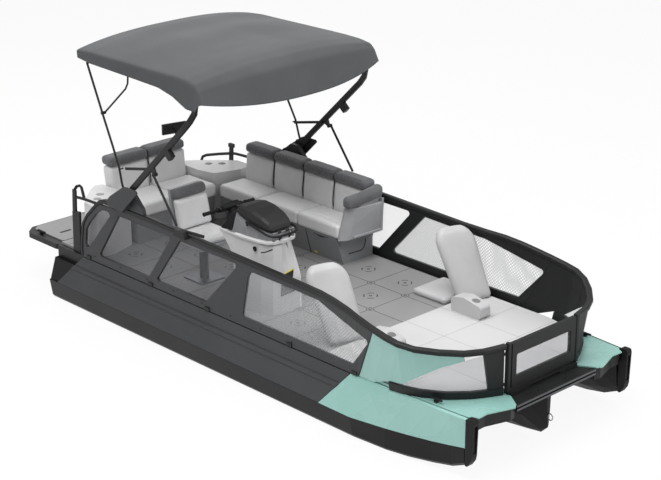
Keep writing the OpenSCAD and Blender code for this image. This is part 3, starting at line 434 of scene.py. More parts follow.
def block(corners, radius, crown, cell=0.022):
    """Surface of a block given by its eight corners [i][j][k]: a unit cube's faces are cut into
    rows, p is clipped to the box shrunk by radius and pushed out by radius along (p - clip),
    then by crown * sqrt(4u(1-u) * 4v(1-v)) along the same way, and laid between the corners."""
    c = np.asarray(corners, float).reshape(2, 2, 2, 3)
    size = np.array([np.linalg.norm((c.take(1, a) - c.take(0, a)).mean((0, 1))) for a in range(3)])
    rows = []
    for a in range(3):
        edge = radius / size[a] * np.array([0.15, 0.4, 0.7, 1.0])
        inner = np.linspace(edge[-1], 1 - edge[-1], max(3, int(size[a] / cell)))
        rows.append(np.unique(np.round(np.concatenate([[0, 1], edge, 1 - edge, inner]), 5)))
    points, quads, count = [], [], 0
    for a in range(3):
        b, d = (a + 1) % 3, (a + 2) % 3
        for side in (0, 1):
            p = np.zeros((len(rows[b]), len(rows[d]), 3))
            p[..., a], p[..., b], p[..., d] = side, rows[b][:, None], rows[d][None, :]
            q = lattice(*p.shape[:2]) + count
            quads.append(q if side else q[:, ::-1])
            points.append(p.reshape(-1, 3))
            count += p.shape[0] * p.shape[1]
    unit, back = np.unique(np.round(np.concatenate(points), 5), axis=0, return_inverse=True)
    p = unit * size
    core = np.clip(p, radius, size - radius)
    way = p - core
    way /= np.linalg.norm(way, axis=1, keepdims=True)
    arch = np.sqrt(np.clip(4 * unit * (1 - unit), 0, 1))
    swell = np.stack([arch[:, 1] * arch[:, 2], arch[:, 0] * arch[:, 2],
                      arch[:, 0] * arch[:, 1]], -1)
    t = (core + radius * way + way * swell * np.asarray(crown)) / size
    w = np.stack([1 - t, t], -1)
    laid = np.einsum("ni,nj,nk,ijkx->nx", w[:, 0], w[:, 1], w[:, 2], c)
    return laid, back.ravel()[np.concatenate(quads)]


def prism(x0, x1, outline):
    """Corners of a block between x0 and x1 over a four-sided outline in Y-Z: low front, low
    back, high front, high back, in millimetres from the zero station."""
    y = np.array(outline, float).reshape(2, 2, 2) / 1000
    return np.array([[[[x / 1000 + DATUM, y[k, j, 0], y[k, j, 1]] for k in (0, 1)] for j in (0, 1)]
                     for x in (x0, x1)])


def upholstery(name, hex_a, hex_b, pebble_mm, depth_mm, rough, fleck=0.0):
    """Sewn covering.  Colour: two tones mixed by noise in slow patches, then fleck as much of a
    paler thread.  Bump: Voronoi pebbles of the grain plus three times a noise of soft creases."""
    patches, threads, creases = 3.2, 260.0, 14.0  # cells in a metre
    made, t = blank(name)
    where = add(t, "ShaderNodeTexCoord")
    pebble = add(t, "ShaderNodeTexVoronoi", [("Vector", where.outputs["Object"])],
                 Scale=1000 / pebble_mm)
    slow = add(t, "ShaderNodeTexNoise", [("Vector", where.outputs["Object"])], Scale=patches,
               Detail=4.0)
    thread = add(t, "ShaderNodeTexNoise", [("Vector", where.outputs["Object"])], Scale=threads,
                 Detail=1.0)
    patch = add(t, "ShaderNodeMapRange", [("Value", slow.outputs[0])], in1=0.35, in2=0.65)
    base = add(t, "ShaderNodeMix", [("Factor", patch.outputs[0])], data_type="RGBA",
               in6=linear(hex_a), in7=linear(hex_b))
    flecks = add(t, "ShaderNodeMapRange", [("Value", thread.outputs[0])], in1=0.5, in2=0.64,
                 in4=fleck)
    colour = add(t, "ShaderNodeMix", [("Factor", flecks.outputs[0]), (6, base.outputs[2])],
                 data_type="RGBA", in7=linear("#9a9b9d"))
    crease = add(t, "ShaderNodeTexNoise", [("Vector", where.outputs["Object"])], Scale=creases,
                 Detail=5.0)
    height = add(t, "ShaderNodeMath", [(0, crease.outputs[0]), (2, pebble.outputs[0])],
                 operation="MULTIPLY_ADD", in1=3.0)
    bump = add(t, "ShaderNodeBump", [("Height", height.outputs[0])], Strength=0.5,
               Distance=depth_mm / 1000)
    gloss = add(t, "ShaderNodeMapRange", [("Value", crease.outputs[0])], in1=0.3, in2=0.7,
                in3=rough - 0.05, in4=rough + 0.07)
    shader = add(t, "ShaderNodeBsdfPrincipled", [("Base Color", colour.outputs[2]),
                 ("Roughness", gloss.outputs[0]), ("Normal", bump.outputs[0])],
                 Sheen_Weight=0.12 + 0.3 * fleck)
    add(t, "ShaderNodeOutputMaterial", [("Surface", shader.outputs[0])])
    return made


# embossed marine vinyl: pale, 2.4 mm leather grain, soft wide highlight; painted lighter against
# the canopy's shade
vinyl_painted_lighter = upholstery("marine vinyl painted lighter against canopy shade", "#d6d6d7", "#e0e0e1", 2.4, 0.25, 0.48)
# the same vinyl painted darker for the chaises and floor slab, which stand in open top light
vinyl_painted_darker = upholstery("marine vinyl painted darker for open top light", "#b2b2b3", "#bcbcbd", 2.4, 0.25, 0.5)
# woven heather fabric: dark, dry, flecked with paler threads
dark_weave = upholstery("dark heather upholstery weave", "#4a4b4d", "#565759", 1.8, 0.5, 0.8, 0.5)

stuffed = []  # every padded piece with its corners and its seams


def cushion(name, corners, material, body, slot, nodes, radius, crown, seams=(), place=None):
    """A padded piece in the space of its CAD solid, starting a little small."""
    points, faces = block(corners, radius, np.array(crown) / 1000)
    if place is not None:
        points = place(points)
    piece = make(name, points, faces, material, body, slot)
    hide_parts(*nodes)
    stuffed.append((piece, np.asarray(corners).reshape(2, 2, 2, 3), seams))


SOFA_AFT = -1954
sofa_seat = [(500, 882), (850, 882), (500, 1018), (850, 1018)]
sofa_back = [(856, 900), (998, 900), (884, 1294), (1006, 1294)]
sofa_bolster = [(864, 1304), (1032, 1304), (868, 1394), (1036, 1394)]
for i in range(3):
    x = SOFA_AFT + i * 606
    cushion(f"sofa_seat_{i + 1}", prism(x, x + 603, sofa_seat), vinyl_painted_lighter, "boat",
            "vinyl_light", ["sofa_seat"], 0.024, (1, 5, 7), [(1, 0.3)])
for i in range(4):
    x = SOFA_AFT + i * 455
    cushion(f"sofa_back_{i + 1}", prism(x, x + 452, sofa_back), vinyl_painted_lighter, "boat",
            "vinyl_light", ["sofa_backs"], 0.022, (1, 12, 4))
    cushion(f"sofa_bolster_{i + 1}", prism(x, x + 452, sofa_bolster), dark_weave, "boat",
            "vinyl_dark", ["bolsters"], 0.03, (1, 8, 7))


def crosswise(y0, y1, outline):
    """Corners of a block between y0 and y1 over a four-sided outline in X-Z: low aft, low
    front, high aft, high front, in millimetres from the zero station."""
    p = np.array(outline, float).reshape(2, 2, 2) / 1000
    return np.array([[[[p[k, j, 0] + DATUM, y / 1000, p[k, j, 1]] for k in (0, 1)]
                      for y in (y0, y1)] for j in (0, 1)])


bench_seat = [(-2456, 882), (-1992, 882), (-2456, 1018), (-1992, 1018)]
bench_back = [(-2598, 902), (-2474, 902), (-2652, 1294), (-2512, 1294)]
bench_bolster = [(-2668, 1304), (-2496, 1304), (-2680, 1394), (-2506, 1394)]
for i, y in enumerate((-499, 3)):
    cushion(f"bench_seat_{i + 1}", crosswise(y, y + 496, bench_seat), vinyl_painted_lighter, "boat",
            "vinyl_light", ["bench_seat"], 0.024, (5, 1, 7), [(0, 0.68)])
    cushion(f"bench_back_{i + 1}", crosswise(y, y + 496, bench_back), vinyl_painted_lighter, "boat",
            "vinyl_light", ["bench_back"], 0.022, (12, 1, 4))
    cushion(f"bench_bolster_{i + 1}", crosswise(y, y + 496, bench_bolster), dark_weave, "boat",
            "vinyl_dark", ["bolsters"], 0.03, (8, 1, 7))

floor_slab = [(832, 578), (1253, 578), (832, 636), (1253, 636)]
cushion("floor_slab", crosswise(562, 1008, floor_slab), vinyl_painted_darker, "boat", "vinyl_light",
        ["slab_pad"], 0.022, (2, 2, 8))

HELM_Y = -610
helm_seat = [(-1043, 989), (-677, 989), (-1043, 1074), (-677, 1074)]
helm_back = [(-1046, 1092), (-958, 1092), (-1112, 1386), (-1032, 1386)]
helm_band = [(-1114, 1390), (-1033, 1390), (-1135, 1486), (-1058, 1486)]
cushion("helm_seat_cushion", crosswise(HELM_Y - 218, HELM_Y + 218, helm_seat), vinyl_painted_lighter,
        "seat", "vinyl_light", ["helm_cushions"], 0.034, (5, 5, 9), [(0, 0.3)])
cushion("helm_back_cushion", crosswise(HELM_Y - 198, HELM_Y + 198, helm_back), vinyl_painted_lighter,
        "seat", "vinyl_light", ["helm_cushions"], 0.03, (10, 4, 3))
cushion("helm_head_band", crosswise(HELM_Y - 198, HELM_Y + 198, helm_band), dark_weave,
        "seat", "vinyl_dark", ["helm_cushions"], 0.034, (8, 4, 6))


def arm_roll(p):
    """Bends a straight roll up to the back: z + 0.03 * clip((y - 0.70) / 0.32, 0, 1)^1.5."""
    rise = 0.03 * np.clip((p[:, 1] - 0.70) / 0.32, 0, 1) ** 1.5
    return p + np.stack([0 * rise, 0 * rise, rise], -1)


roll_heights = ((0.552, (1.202, 1.322)), (1.03, (1.21, 1.34)))
roll = np.array([[[[x + DATUM, y, z] for z in heights] for x, (y, heights) in zip(xs, roll_heights)]
                 for xs in ((-0.138, -0.130), (-0.046, -0.014))])
cushion("sofa_arm_roll", roll, dark_weave, "boat", "vinyl_dark", ["bolsters"], 0.042, (3, 3, 5),
        (), arm_roll)


def recline(x0, y0):
    """Stands a flat rest (l thick, w wide, h high, in metres) up and leans it: its half width
    grows from 0.184 to 0.214 and closes by 42 % over its top 0.17, then
    x = x0 + 0.961 l + 0.276 w - 0.4745 h, y = y0 - 0.276 l + 0.961 w + 0.02 h."""

    def place(p):
        l, w, h = p.T
        close = 1 - 0.42 * np.clip((h - 0.49) / 0.175, 0, 1) ** 2.4
        spread = (0.184 + 0.03 * np.clip(h / 0.56, 0, 1)) * close
        w = -0.006 - 0.022 * h / 0.66 + w / 0.2 * spread
        return np.stack([x0 + 0.961 * l + 0.276 * w - 0.4745 * h + DATUM,
                         y0 - 0.276 * l + 0.961 * w + 0.02 * h, 0.601 + h], -1)

    return place


rest = np.array([[[[l, w, h] for h in (0.003, 0.658)] for w in (-0.2, 0.2)]
                 for l in (-0.046, 0.046)])
for side_name, x0, y0 in (("port", 1.395, 0.846), ("starboard", 1.253, -0.699)):
    cushion(f"chaise_back_{side_name}", rest, vinyl_painted_darker, "boat", "vinyl_light",
            ["chaise_backs"], 0.042, (9, 3, 8), (), recline(x0, y0))

VOXEL = 0.011  # edge of the remeshed cover's cells
PRESSURE, FRAMES = 4.0, 20
MOST = 0.004  # how far the stuffing may push a point


def points_of(mesh):
    """The mesh's points as an (n, 3) array."""
    co = np.empty(len(mesh.vertices) * 3)
    mesh.vertices.foreach_get("co", co)
    return co.reshape(-1, 3)


def apply_modifiers(piece):
    """Puts what the piece's modifiers make into its mesh."""
    ready = piece.evaluated_get(bpy.context.evaluated_depsgraph_get())
    done = bpy.data.meshes.new_from_object(ready)
    piece.modifiers.clear()
    cover = piece.data.materials[0]
    piece.data = done
    done.name = piece.name
    if not done.materials:
        done.materials.append(cover)


def inflate():
    """Remeshes every cushion finely and inflates them all together as cloth under pressure,
    then moves each point by step * min(1, MOST / |step|), step being taken from the mean."""
    starts = []
    for piece, _, _ in stuffed:
        cut = piece.modifiers.new("even", "REMESH")
        cut.mode, cut.voxel_size, cut.use_smooth_shade = "VOXEL", VOXEL, True
        apply_modifiers(piece)
        soft = piece.modifiers.new("stuffing", "CLOTH")
        soft.settings.use_pressure = True
        soft.settings.uniform_pressure_force = PRESSURE
        soft.settings.effector_weights.gravity = 0.0
        soft.settings.quality = 5
        starts.append(points_of(piece.data))
    for frame_number in range(1, FRAMES + 1):
        scene.frame_set(frame_number)
    now = bpy.context.evaluated_depsgraph_get()
    ends = [points_of(piece.evaluated_get(now).data) for piece, _, _ in stuffed]
    for (piece, _, _), start, end in zip(stuffed, starts, ends):
        step = end - start
        step -= step.mean(0)
        far = np.linalg.norm(step, axis=1, keepdims=True)
        step *= np.minimum(1, MOST / np.maximum(far, 1e-6))
        piece.modifiers.clear()
        piece.data.vertices.foreach_set("co", (start + step).ravel())
    scene.frame_set(1)


def stitch(piece, corners, seams):
    """One subdivision, then sewn channels: depth * exp(-(d / width)^2) inward, d being the
    distance to the seam's plane, which stands across one of the block's axes."""
    depth, width = 0.007, 0.0065
    smooth = piece.modifiers.new("smooth", "SUBSURF")
    smooth.levels = smooth.render_levels = 1
    apply_modifiers(piece)
    co = points_of(piece.data)
    normal = np.empty(len(co) * 3)
    piece.data.vertex_normals.foreach_get("vector", normal)
    for axis, share_along in seams:
        way = (corners.take(1, axis) - corners.take(0, axis)).mean((0, 1))
        length = np.linalg.norm(way)
        d = (co - corners.take(0, axis).mean((0, 1))) @ way / length - share_along * length
        co = co - normal.reshape(-1, 3) * (depth * np.exp(-((d / width) ** 2)))[:, None]
    piece.data.vertices.foreach_set("co", co.ravel())
    piece.data.update()


inflate()
for piece, block_corners, seams in stuffed:
    stitch(piece, block_corners, seams)

# ---- piping ----
# Between neighbouring backs the two covers meet in a black welt: vinyl sewn round a cord, that
# runs up the front of the back, over the bolster and down behind it.

# vinyl sewn over cord: black, half matt
black_piping = finish("black vinyl piping", "#1c1c1e", "#252527", 0.5, 1.5, 0.1)


def tube(path, radius, sides=10, closed=False):
    """A round bar along a path: p + r (cos a * n + sin a * b), n and b square to the path."""
    p = np.asarray(path, float)
    if closed:
        t = np.roll(p, -1, 0) - np.roll(p, 1, 0)
    else:
        t = np.gradient(p, axis=0)
    t /= np.linalg.norm(t, axis=1, keepdims=True)
    ref = np.eye(3)[np.argmin(np.abs(t).max(0))]
    n = np.cross(t, ref)
    n /= np.linalg.norm(n, axis=1, keepdims=True)
    b = np.cross(t, n)
    a = np.linspace(0, 2 * np.pi, sides, endpoint=False)
    r = np.broadcast_to(radius, (len(p),))[:, None, None]
    cos_a, sin_a = np.cos(a)[None, :, None], np.sin(a)[None, :, None]
    ring = p[:, None] + r * (cos_a * n[:, None] + sin_a * b[:, None])
    faces = [list(f) for f in lattice(len(p), sides, closed, True)[:, ::-1]]
    if not closed:
        faces += [list(range(sides)), list(range((len(p) - 1) * sides, len(p) * sides))[::-1]]
    return ring.reshape(-1, 3), faces


def bend_round(points, radius, steps=6):
    """A path with its corners rounded: each corner is cut at radius on both sides and filled
    with a quadratic curve (1-t)^2 a + 2t(1-t) c + t^2 b."""
    p = np.asarray(points, float)
    t = np.linspace(0, 1, steps)[:, None]
    out = [p[:1]]
    for a, c, b in zip(p[:-2], p[1:-1], p[2:]):
        cut_a = c + (a - c) * min(0.5, radius / np.linalg.norm(a - c))
        cut_b = c + (b - c) * min(0.5, radius / np.linalg.norm(b - c))
        out.append((1 - t) ** 2 * cut_a + 2 * t * (1 - t) * c + t**2 * cut_b)
    return np.concatenate(out + [p[-1:]])


WELT = 0.006
sofa_edge = ((872, 1030), (866, 1100), (892, 1286), (884, 1320), (884, 1376), (1000, 1384),
             (1020, 1370))
welts = []
for x in (-1502.5, -1047.5, -592.5):
    path = [(x / 1000 + DATUM, y / 1000, z / 1000) for y, z in sofa_edge]
    welts.append(tube(bend_round(path, 0.03), WELT))
make("sofa_piping", *gather(*welts), black_piping, "boat", "trim_black")
bench_edge = ((-2480, 1030), (-2482, 1090), (-2516, 1288), (-2514, 1320), (-2520, 1376),
              (-2650, 1384), (-2668, 1370))
path = [(x / 1000 + DATUM, 0.001, z / 1000) for x, z in bench_edge]
make("bench_piping", *tube(bend_round(path, 0.03), WELT), black_piping, "boat", "trim_black")

# ---- helm ----
# The chair stands on an alloy pedestal.  The steering column leans 30 degrees aft in its
# moulded pod, and its bar carries ribbed grips, short levers, switch blocks and a soft pad.

# anodised aluminium: grey, with a metal's soft reflection
post_alloy = finish("grey anodised aluminium", "#666769", "#75767a", 0.35, 1.0, 0.05, metal=0.6)
dress(post_alloy, "helm_pedestal")
dress(black_plastic, "steering_pod")
dress(guard_rubber, "handlebar")
# soft moulded rubber: black and quite dull
grip_rubber = finish("ribbed grip rubber", "#0f0f10", "#19191a", 0.62, 1.2, 0.3, shine=0.3)
# glass over a dark screen: nearly black, with a sharp reflection
display_glass = finish("dark display glass", "#0b0c10", "#12141a", 0.08, 40.0, 0.0, coat=0.6)

BAR_Y = -0.635


def on_column(p):
    """Column frame to boat frame, in metres: turned 30 degrees about Y, then moved to the dash:
    x = x0 + c x - s z, z = z0 + s x + c z."""
    x, y, z = np.asarray(p, float).T
    c, s = math.cos(math.pi / 6), 0.5
    return np.stack([-0.32 + c * x - s * z + DATUM, BAR_Y + y, 1.25 + s * x + c * z], -1)


RINGS = 60
grips = []
for side in (1, -1):
    line = np.stack([np.linspace(-0.0135, -0.0255, RINGS), side * np.linspace(0.196, 0.312, RINGS),
                     np.full(RINGS, 0.222)], -1)
    ribs = 0.0178 + 0.0011 * np.cos(np.linspace(0, 2 * np.pi * 14, RINGS))
    ribs[:3] = (0.023, 0.024, 0.023)
    ribs[-3:] = (0.0215, 0.022, 0.0205)
    points, faces = tube(line, ribs, 20)
    grips.append((on_column(points), faces))
    lever = bend_round([(0.02, side * 0.15, 0.226), (0.045, side * 0.175, 0.226),
                        (0.03, side * 0.275, 0.224)], 0.02)
    points, faces = tube(lever, 0.0045, 10)
    grips.append((on_column(points), faces))
make("handlebar_grips", *gather(*grips), grip_rubber, "steering", "trim_black")

cowl_ends = (((-0.372, -0.322), (1.308, 1.430)), ((-0.216, -0.216), (1.308, 1.492)))
cowl = np.array([[[[x[k] + DATUM, BAR_Y + y, z[k]] for k in (0, 1)] for y in (-0.105, 0.105)]
                 for x, z in cowl_ends])
make("dash_cowl", *block(cowl, 0.03, np.array((0.004, 0.01, 0.006)), 0.014), black_plastic,
     "boat", "trim_black")
pad = np.array([[[[x, y, z] for z in (0.196, 0.262)] for y in (-0.105, 0.105)]
                for x in (-0.05, 0.045)])
points, faces = block(pad, 0.024, np.array((0.003, 0.004, 0.006)), 0.012)
make("handlebar_pad", on_column(points), faces, grip_rubber, "steering", "trim_black")
switches = []
for side in (1, -1):
    points, faces = tube([(-0.012, side * 0.11, 0.22), (-0.016, side * 0.15, 0.2225)], 0.026, 16)
    switches.append((on_column(points), faces))
make("handlebar_switches", *gather(*switches), black_plastic, "steering", "trim_black")

screen = np.array([[[[l, w, h] for h in (0.0, 0.012)] for w in (-0.058, 0.058)]
                   for l in (-0.036, 0.036)])
points, faces = block(screen, 0.004, np.array((0, 0, 0.001)), 0.01)
lean = math.atan2(56, 48)
points = points @ np.array([[math.cos(lean), 0, math.sin(lean)], [0, 1, 0],
                            [-math.sin(lean), 0, math.cos(lean)]])
make("helm_display", points + [-0.272 + DATUM, BAR_Y, 1.478], faces, display_glass, "boat",
     "trim_black")

# ---- console ----
# The console is a light gelcoat moulding with a grey hood, a storage box under a padded woven
# lid, a stretched net pocket with a yellow band, a socket and a pale edge moulding.

# gelcoat from a polished mould, pale grey under a clear skin.  The hood is a second moulding
# in mid grey, above the rim at z = 1.3015 + 0.0324 * max(0, x + 0.09)
console_gel = finish("light grey gelcoat", "#cfcfd0", "#dadadb", 0.3, 9.0, 0.05, coat=0.3)
t = console_gel.node_tree
where = add(t, "ShaderNodeTexCoord")
split = add(t, "ShaderNodeSeparateXYZ", [(0, where.outputs["Object"])])
shift = add(t, "ShaderNodeMath", [(0, split.outputs[0])], operation="ADD", in1=0.09)
ahead = add(t, "ShaderNodeMath", [(0, shift.outputs[0])], operation="MAXIMUM", in1=0.0)
rim = add(t, "ShaderNodeMath", [(0, ahead.outputs[0])], operation="MULTIPLY_ADD", in1=0.0324,
          in2=1.3015)
above = add(t, "ShaderNodeMath", [(0, split.outputs[2]), (1, rim.outputs[0])],
            operation="GREATER_THAN")
shader = next(n for n in t.nodes if n.type == "BSDF_PRINCIPLED")
pale = shader.inputs["Base Color"].links[0].from_socket
tone = add(t, "ShaderNodeMix", [("Factor", above.outputs[0]), (6, pale)], data_type="RGBA",
           in7=linear("#78797b"))
t.links.new(tone.outputs[2], shader.inputs["Base Color"])
dress(console_gel, "console_body")
# coated woven cover: black, with a dry weave of 1.8 mm
lid_cloth = finish("black woven cover", "#161617", "#212122", 0.6, 1.8, 0.5, shine=0.4)
dress(lid_cloth, "console_lid")
# knitted elastic net: black, quite matt
pocket_net = finish("black stretch net", "#141415", "#2a2a2b", 0.85, 1.0, 0.6)
# woven webbing: strong yellow, dull
tab_yellow = finish("yellow webbing tab", "#c9b91c", "#d8c92e", 0.6, 1.5, 0.2)
# moulded edging: off-white plastic with a soft sheen
edge_white = finish("white moulded edging", "#d9d9da", "#e3e3e4", 0.4, 4.0, 0.1)

NET_LOW, NET_HIGH = 0.76, 0.972
pocket = np.array([[[[0.444 + g, -0.688, NET_LOW], [0.4545 + g, -0.688, NET_HIGH]],
                    [[0.428 + g, -0.504, NET_LOW], [0.409 + g, -0.504, NET_HIGH]]]
                   for g in (0.0, 0.012)])
make("console_pocket", *block(pocket, 0.0028, np.array((0.006, 0, 0)), 0.02), pocket_net, "boat",
     "trim_black")
band = (pocket[0, :, 1] + pocket[1, :, 1]) / 2
make("pocket_band", *tube(np.linspace(band[0], band[1], 20) + [0.002, 0, 0.004], 0.006, 10),
     tab_yellow, "boat", "trim_black")
edging = bend_round([(0.262, -0.43, 1.274), (0.347, -0.43, 1.09), (0.43, -0.43, 0.90),
                     (0.434, -0.43, 0.58)], 0.06, 8)
make("console_edging", *tube(edging, 0.008, 12), edge_white, "boat", "console_light")
SOCKET_X, SOCKET_Z = 0.26, 1.225
a = np.linspace(0, 2 * np.pi, 24, endpoint=False)
rim_path = np.stack([SOCKET_X + 0.02 * np.cos(a), np.full(24, -0.8405),
                     SOCKET_Z + 0.02 * np.sin(a)], -1)
cap = tube([(SOCKET_X, -0.834, SOCKET_Z), (SOCKET_X, -0.8425, SOCKET_Z)], 0.018, 20)
handle = tube(bend_round([(0.35, -0.842, 1.212), (0.41, -0.845, 1.232), (0.462, -0.80, 1.262)],
                         0.03), 0.0055, 10)
make("console_socket", *gather(tube(rim_path, 0.005, 10, True), cap, handle), black_plastic,
     "boat", "trim_black")

# ---- bow eye and step ----
# A forged eye is bolted through the centre stem for towing, and two aluminium extrusions are
# riveted along the step's nose.

# satin stainless steel: bright, with a soft-edged reflection
satin_metal = finish("satin stainless steel", "#9a9b9d", "#acadaf", 0.28, 0.8, 0.03, metal=0.9)
a = np.linspace(0, 2 * np.pi, 40, endpoint=False)
eye = np.stack([3.152 + 0.026 * np.cos(a), 0 * a, 0.236 + 0.03 * np.sin(a)], -1)
shank = tube([(3.08, 0, 0.262), (3.135, 0, 0.25)], 0.008, 12)
make("bow_eye", *gather(tube(eye, 0.0055, 12, True), shank), satin_metal, "boat", "frame_dark")
# anodised extrusion: dark grey, a little metallic
nose_alloy = finish("grey anodised extrusion", "#4a4b4d", "#57585a", 0.35, 1.2, 0.05, metal=0.4)
CUTS = 24
noses = []
for z in (0.488, 0.524):
    profile = np.array([[3.2135, z + 0.003], [3.2165, z + 0.005],
                        [3.2165, z + 0.019], [3.2135, z + 0.021]])
    run_y = np.broadcast_to(np.linspace(-0.526, 0.526, CUTS)[:, None], (CUTS, 4))
    strip = np.stack([0 * run_y + profile[:, 0], run_y, 0 * run_y + profile[:, 1]], -1)
    sides = [list(f) for f in lattice(CUTS, 4, False, True)[:, ::-1]]
    last = 4 * CUTS - 1
    ends = [[0, 1, 2, 3], [last, last - 1, last - 2, last - 3]]
    noses.append((strip.reshape(-1, 3), sides + ends))
make("step_noses", *gather(*noses), nose_alloy, "boat", "frame_dark", False)

# ---- seat base trim ----
# The sofa's end has a groove moulded round its panel, a parting line beside the drawer and a
# finger pull above it, and a short yellow tab marks the drawer's catch.

FOOT_Y = 0.6085
tab = np.array([[[[-0.484 + l, FOOT_Y + w + (h - 0.009) * -0.29, 0.600 + h] for h in (0, 0.018)]
                 for w in (-0.004, 0.004)] for l in (0, 0.05)])
make("seat_base_tabs", *block(tab, 0.002, np.zeros(3), 0.01), tab_yellow, "boat", "trim_black")
# painted shade in the groove, the parting line and the finger pull's recess: almost black, flat
dark_line = finish("shadowed moulding groove", "#2b2b2d", "#343436", 0.7, 2.0, 0.1)
groove = bend_round([(-0.0675, 0.69, 0.672), (-0.0675, 0.885, 0.664), (-0.0675, 0.925, 0.72),
                     (-0.0675, 0.925, 0.80)], 0.04, 8)
gap = bend_round([(-0.512, 0.5145, 0.872), (-0.53, 0.556, 0.752), (-0.542, 0.6205, 0.566)],
                 0.08, 10)
pull = bend_round([(-0.40, 0.519, 0.858), (-0.298, 0.5245, 0.840), (-0.188, 0.517, 0.862)],
                  0.08, 10)
pull_radius = 0.002 + 0.007 * np.sin(np.linspace(0, np.pi, len(pull)))
make("sofa_end_groove", *gather(tube(groove, 0.005, 10), tube(gap, 0.0035, 10),
     tube(pull, pull_radius, 10)), dark_line, "boat", "base_grey")

# ---- platform slots and fence screws ----
# Two long mooring slots with black inserts are let into the swim platform, and dome-headed
# screws hold the fence's skirt to the deck.

SIDES = 36
a = np.linspace(0, 2 * np.pi, SIDES, endpoint=False)
slots = []
for side in (1, -1):
    ring = np.stack([-2.835 + 0.017 * np.cos(a),
                     side * 0.80 + np.clip(0.11 * np.sin(a), -0.07, 0.07),
                     np.full(SIDES, 0.5625)], -1)
    wall = [list(f) for f in lattice(2, SIDES, False, True)[:, ::-1]]
    ends = [list(range(SIDES))[::-1], list(range(SIDES, 2 * SIDES))]
    slots.append((np.concatenate([ring - [0, 0, 0.003], ring + [0, 0, 0.0012]]), wall + ends))
make("platform_slots", *gather(*slots), black_plastic, "boat", "trim_black", False)

# a screw's head is a stack of rings whose radius falls as sqrt(1 - (0.96 t)^2)
dome = np.linspace(0, 1, 6)
screws = []
for x in np.arange(-1.9, 2.0, 0.42):
    for side in (1, -1):
        centre = np.array([x, side * 1.1005, 0.612])
        head = centre + np.stack([0 * dome, side * 0.004 * dome, 0 * dome], -1)
        screws.append(tube(head, 0.0075 * np.sqrt(1 - (dome * 0.96) ** 2), 12))
make("fence_screws", *gather(*screws), black_plastic, "boat", "trim_black")

# ---- sun top frame ----
# Two flat aluminium arms swing on brackets bolted to the fence.  Bent tube bows, stays and
# struts are pinned to them, and a mirror is clamped to the starboard arm.

dress(grey_coat, "arm_brackets")
dress(frame_coat, "sun_arms", "rear_bow", "mid_bow", "stays", "struts", "strut_clamps")
dress(black_plastic, "mirror_box")

# ---- canopy ----
# One cut of charcoal acrylic canvas is pulled over three bows and sewn into a rounded edge
# that turns down at the sides and drops to the arms at the front.


def weave(name, hex_a, hex_b, thread_mm, depth_mm):
    """Woven canvas.  Bump: the product of two sine waves at right angles, one crest a thread.
    Colour: two tones mixed by slow patches and a fine speckle, as dust and fading leave."""
    coarser = 10  # threads of the real pitch are too fine to show, so they are drawn coarser
    waves = 314.0 / thread_mm / coarser  # a wave's scale is 2 pi / 20 over its length
    made, t = blank(name)
    where = add(t, "ShaderNodeTexCoord")
    slow = add(t, "ShaderNodeTexNoise", [("Vector", where.outputs["Object"])], Scale=1.6,
               Detail=5.0)
    speck = add(t, "ShaderNodeTexNoise", [("Vector", where.outputs["Object"])], Scale=330.0,
                Detail=1.0)
    along_x = add(t, "ShaderNodeTexWave", [("Vector", where.outputs["Object"])], Scale=waves)
    along_y = add(t, "ShaderNodeTexWave", [("Vector", where.outputs["Object"])],
                  bands_direction="Y", Scale=waves)
    patch = add(t, "ShaderNodeMapRange", [("Value", slow.outputs[0])], in1=0.35, in2=0.65,
                in4=0.7)
    grain = add(t, "ShaderNodeMapRange", [("Value", speck.outputs[0])], in1=0.35, in2=0.65,
                in4=0.3)
    total = add(t, "ShaderNodeMath", [(0, patch.outputs[0]), (1, grain.outputs[0])],
                operation="ADD", use_clamp=True)
    colour = add(t, "ShaderNodeMix", [("Factor", total.outputs[0])], data_type="RGBA",
                 in6=linear(hex_a), in7=linear(hex_b))
    cross = add(t, "ShaderNodeMath", [(0, along_x.outputs[1]), (1, along_y.outputs[1])],
                operation="MULTIPLY")
    bump = add(t, "ShaderNodeBump", [("Height", cross.outputs[0])], Strength=0.4,
               Distance=depth_mm / 1000)
    shader = add(t, "ShaderNodeBsdfPrincipled", [("Base Color", colour.outputs[2]),
                 ("Normal", bump.outputs[0])], Roughness=0.82, Sheen_Weight=0.15,
                 Sheen_Roughness=0.5)
    add(t, "ShaderNodeOutputMaterial", [("Surface", shader.outputs[0])])
    return made


# solution-dyed acrylic canvas: charcoal and dry, with a faint weave
top_canvas = weave("charcoal acrylic canvas weave", "#38393b", "#434547", 1.4, 0.3)

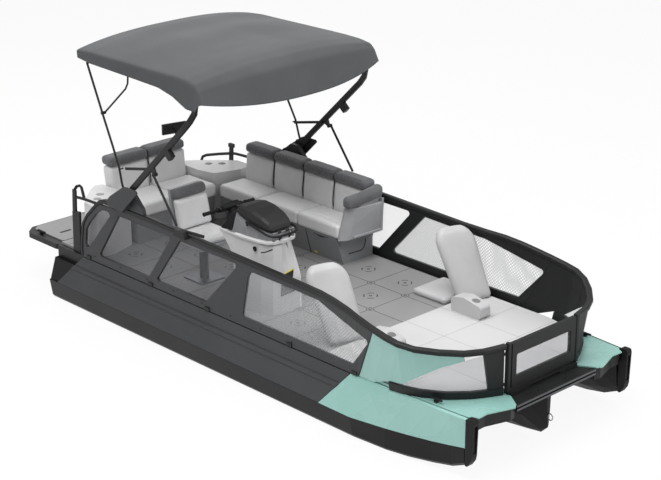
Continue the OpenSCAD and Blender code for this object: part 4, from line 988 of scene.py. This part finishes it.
# each station along the boat: x, then the heights of hem, shoulder and crown, then half width
stations = np.array([
    [-2166, 2700, 2722, 2800, 1083], [-2125, 2668, 2748, 2842, 1116],
    [-1900, 2650, 2764, 2870, 1126], [-1336, 2638, 2768, 2882, 1128],
    [-852, 2624, 2775, 2878, 1128], [-640, 2580, 2776, 2870, 1128],
    [-447, 2500, 2770, 2856, 1130], [-310, 2500, 2750, 2832, 1132],
    [-262, 2548, 2702, 2776, 1134], [-206, 2574, 2588, 2496, 1136]]) / 1000
ROWS, COLUMNS = 190, 161
TURN = 0.86  # share of the half width at which the cloth turns down
SAG = 0.013  # between two bows
run = np.concatenate([[0], np.cumsum(np.hypot(np.diff(stations[:, 0]), np.diff(stations[:, 3])))])
fine = np.linspace(0, run[-1], ROWS)
sx, hem, shoulder, crown, half = (np.interp(fine, run, stations[:, k])[:, None] for k in range(5))
q = np.linspace(-1, 1, COLUMNS)[None, :]
u = np.clip(q / TURN, -1, 1)
down = np.clip((np.abs(q) - TURN) / (1 - TURN), 0, 1)
front = np.maximum(0, (sx + 0.310) / 0.105)
top_x = sx + 0.185 * (1 - u**2) * front - 0.04 * (down > 0) * np.minimum(1, front) * down
top_y = np.sign(q) * (half * np.abs(u) - 0.004 * down)
top_z = crown + (shoulder - crown) * np.abs(u) ** 2.6
top_z = top_z + (hem - shoulder) * down
bows = np.array([-1.976, -1.336, -0.47])
for a, b in zip(bows[:-1], bows[1:]):
    t = np.clip((sx - a) / (b - a), 0, 1)
    top_z = top_z - SAG * np.sin(np.pi * t) ** 2 * (1 - np.abs(u) ** 4) * (down == 0)
cloth = np.stack([top_x + 0 * top_y, top_y + 0 * top_x, top_z], -1)
for _ in range(3):  # the stretched cloth rounds every corner: (before + 2 here + after) / 4
    cloth[1:-1] = (cloth[:-2] + 2 * cloth[1:-1] + cloth[2:]) / 4
    cloth[:, 1:-1] = (cloth[:, :-2] + 2 * cloth[:, 1:-1] + cloth[:, 2:]) / 4
cloth[..., 0] += DATUM

canopy_sheet = make("canopy_sheet", cloth, lattice(ROWS, COLUMNS), top_canvas, "top_arms",
                    "canopy_fabric")
thick = canopy_sheet.modifiers.new("cloth thickness", "SOLIDIFY")
thick.thickness, thick.offset = 0.003, -1
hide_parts("canopy")
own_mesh(canopy_sheet)

# ---- last: the boxes of both models ----
size = {"cad": [list(map(float, c)) for c in CAD_BOX],
        "visual": [list(map(float, c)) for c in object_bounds()]}
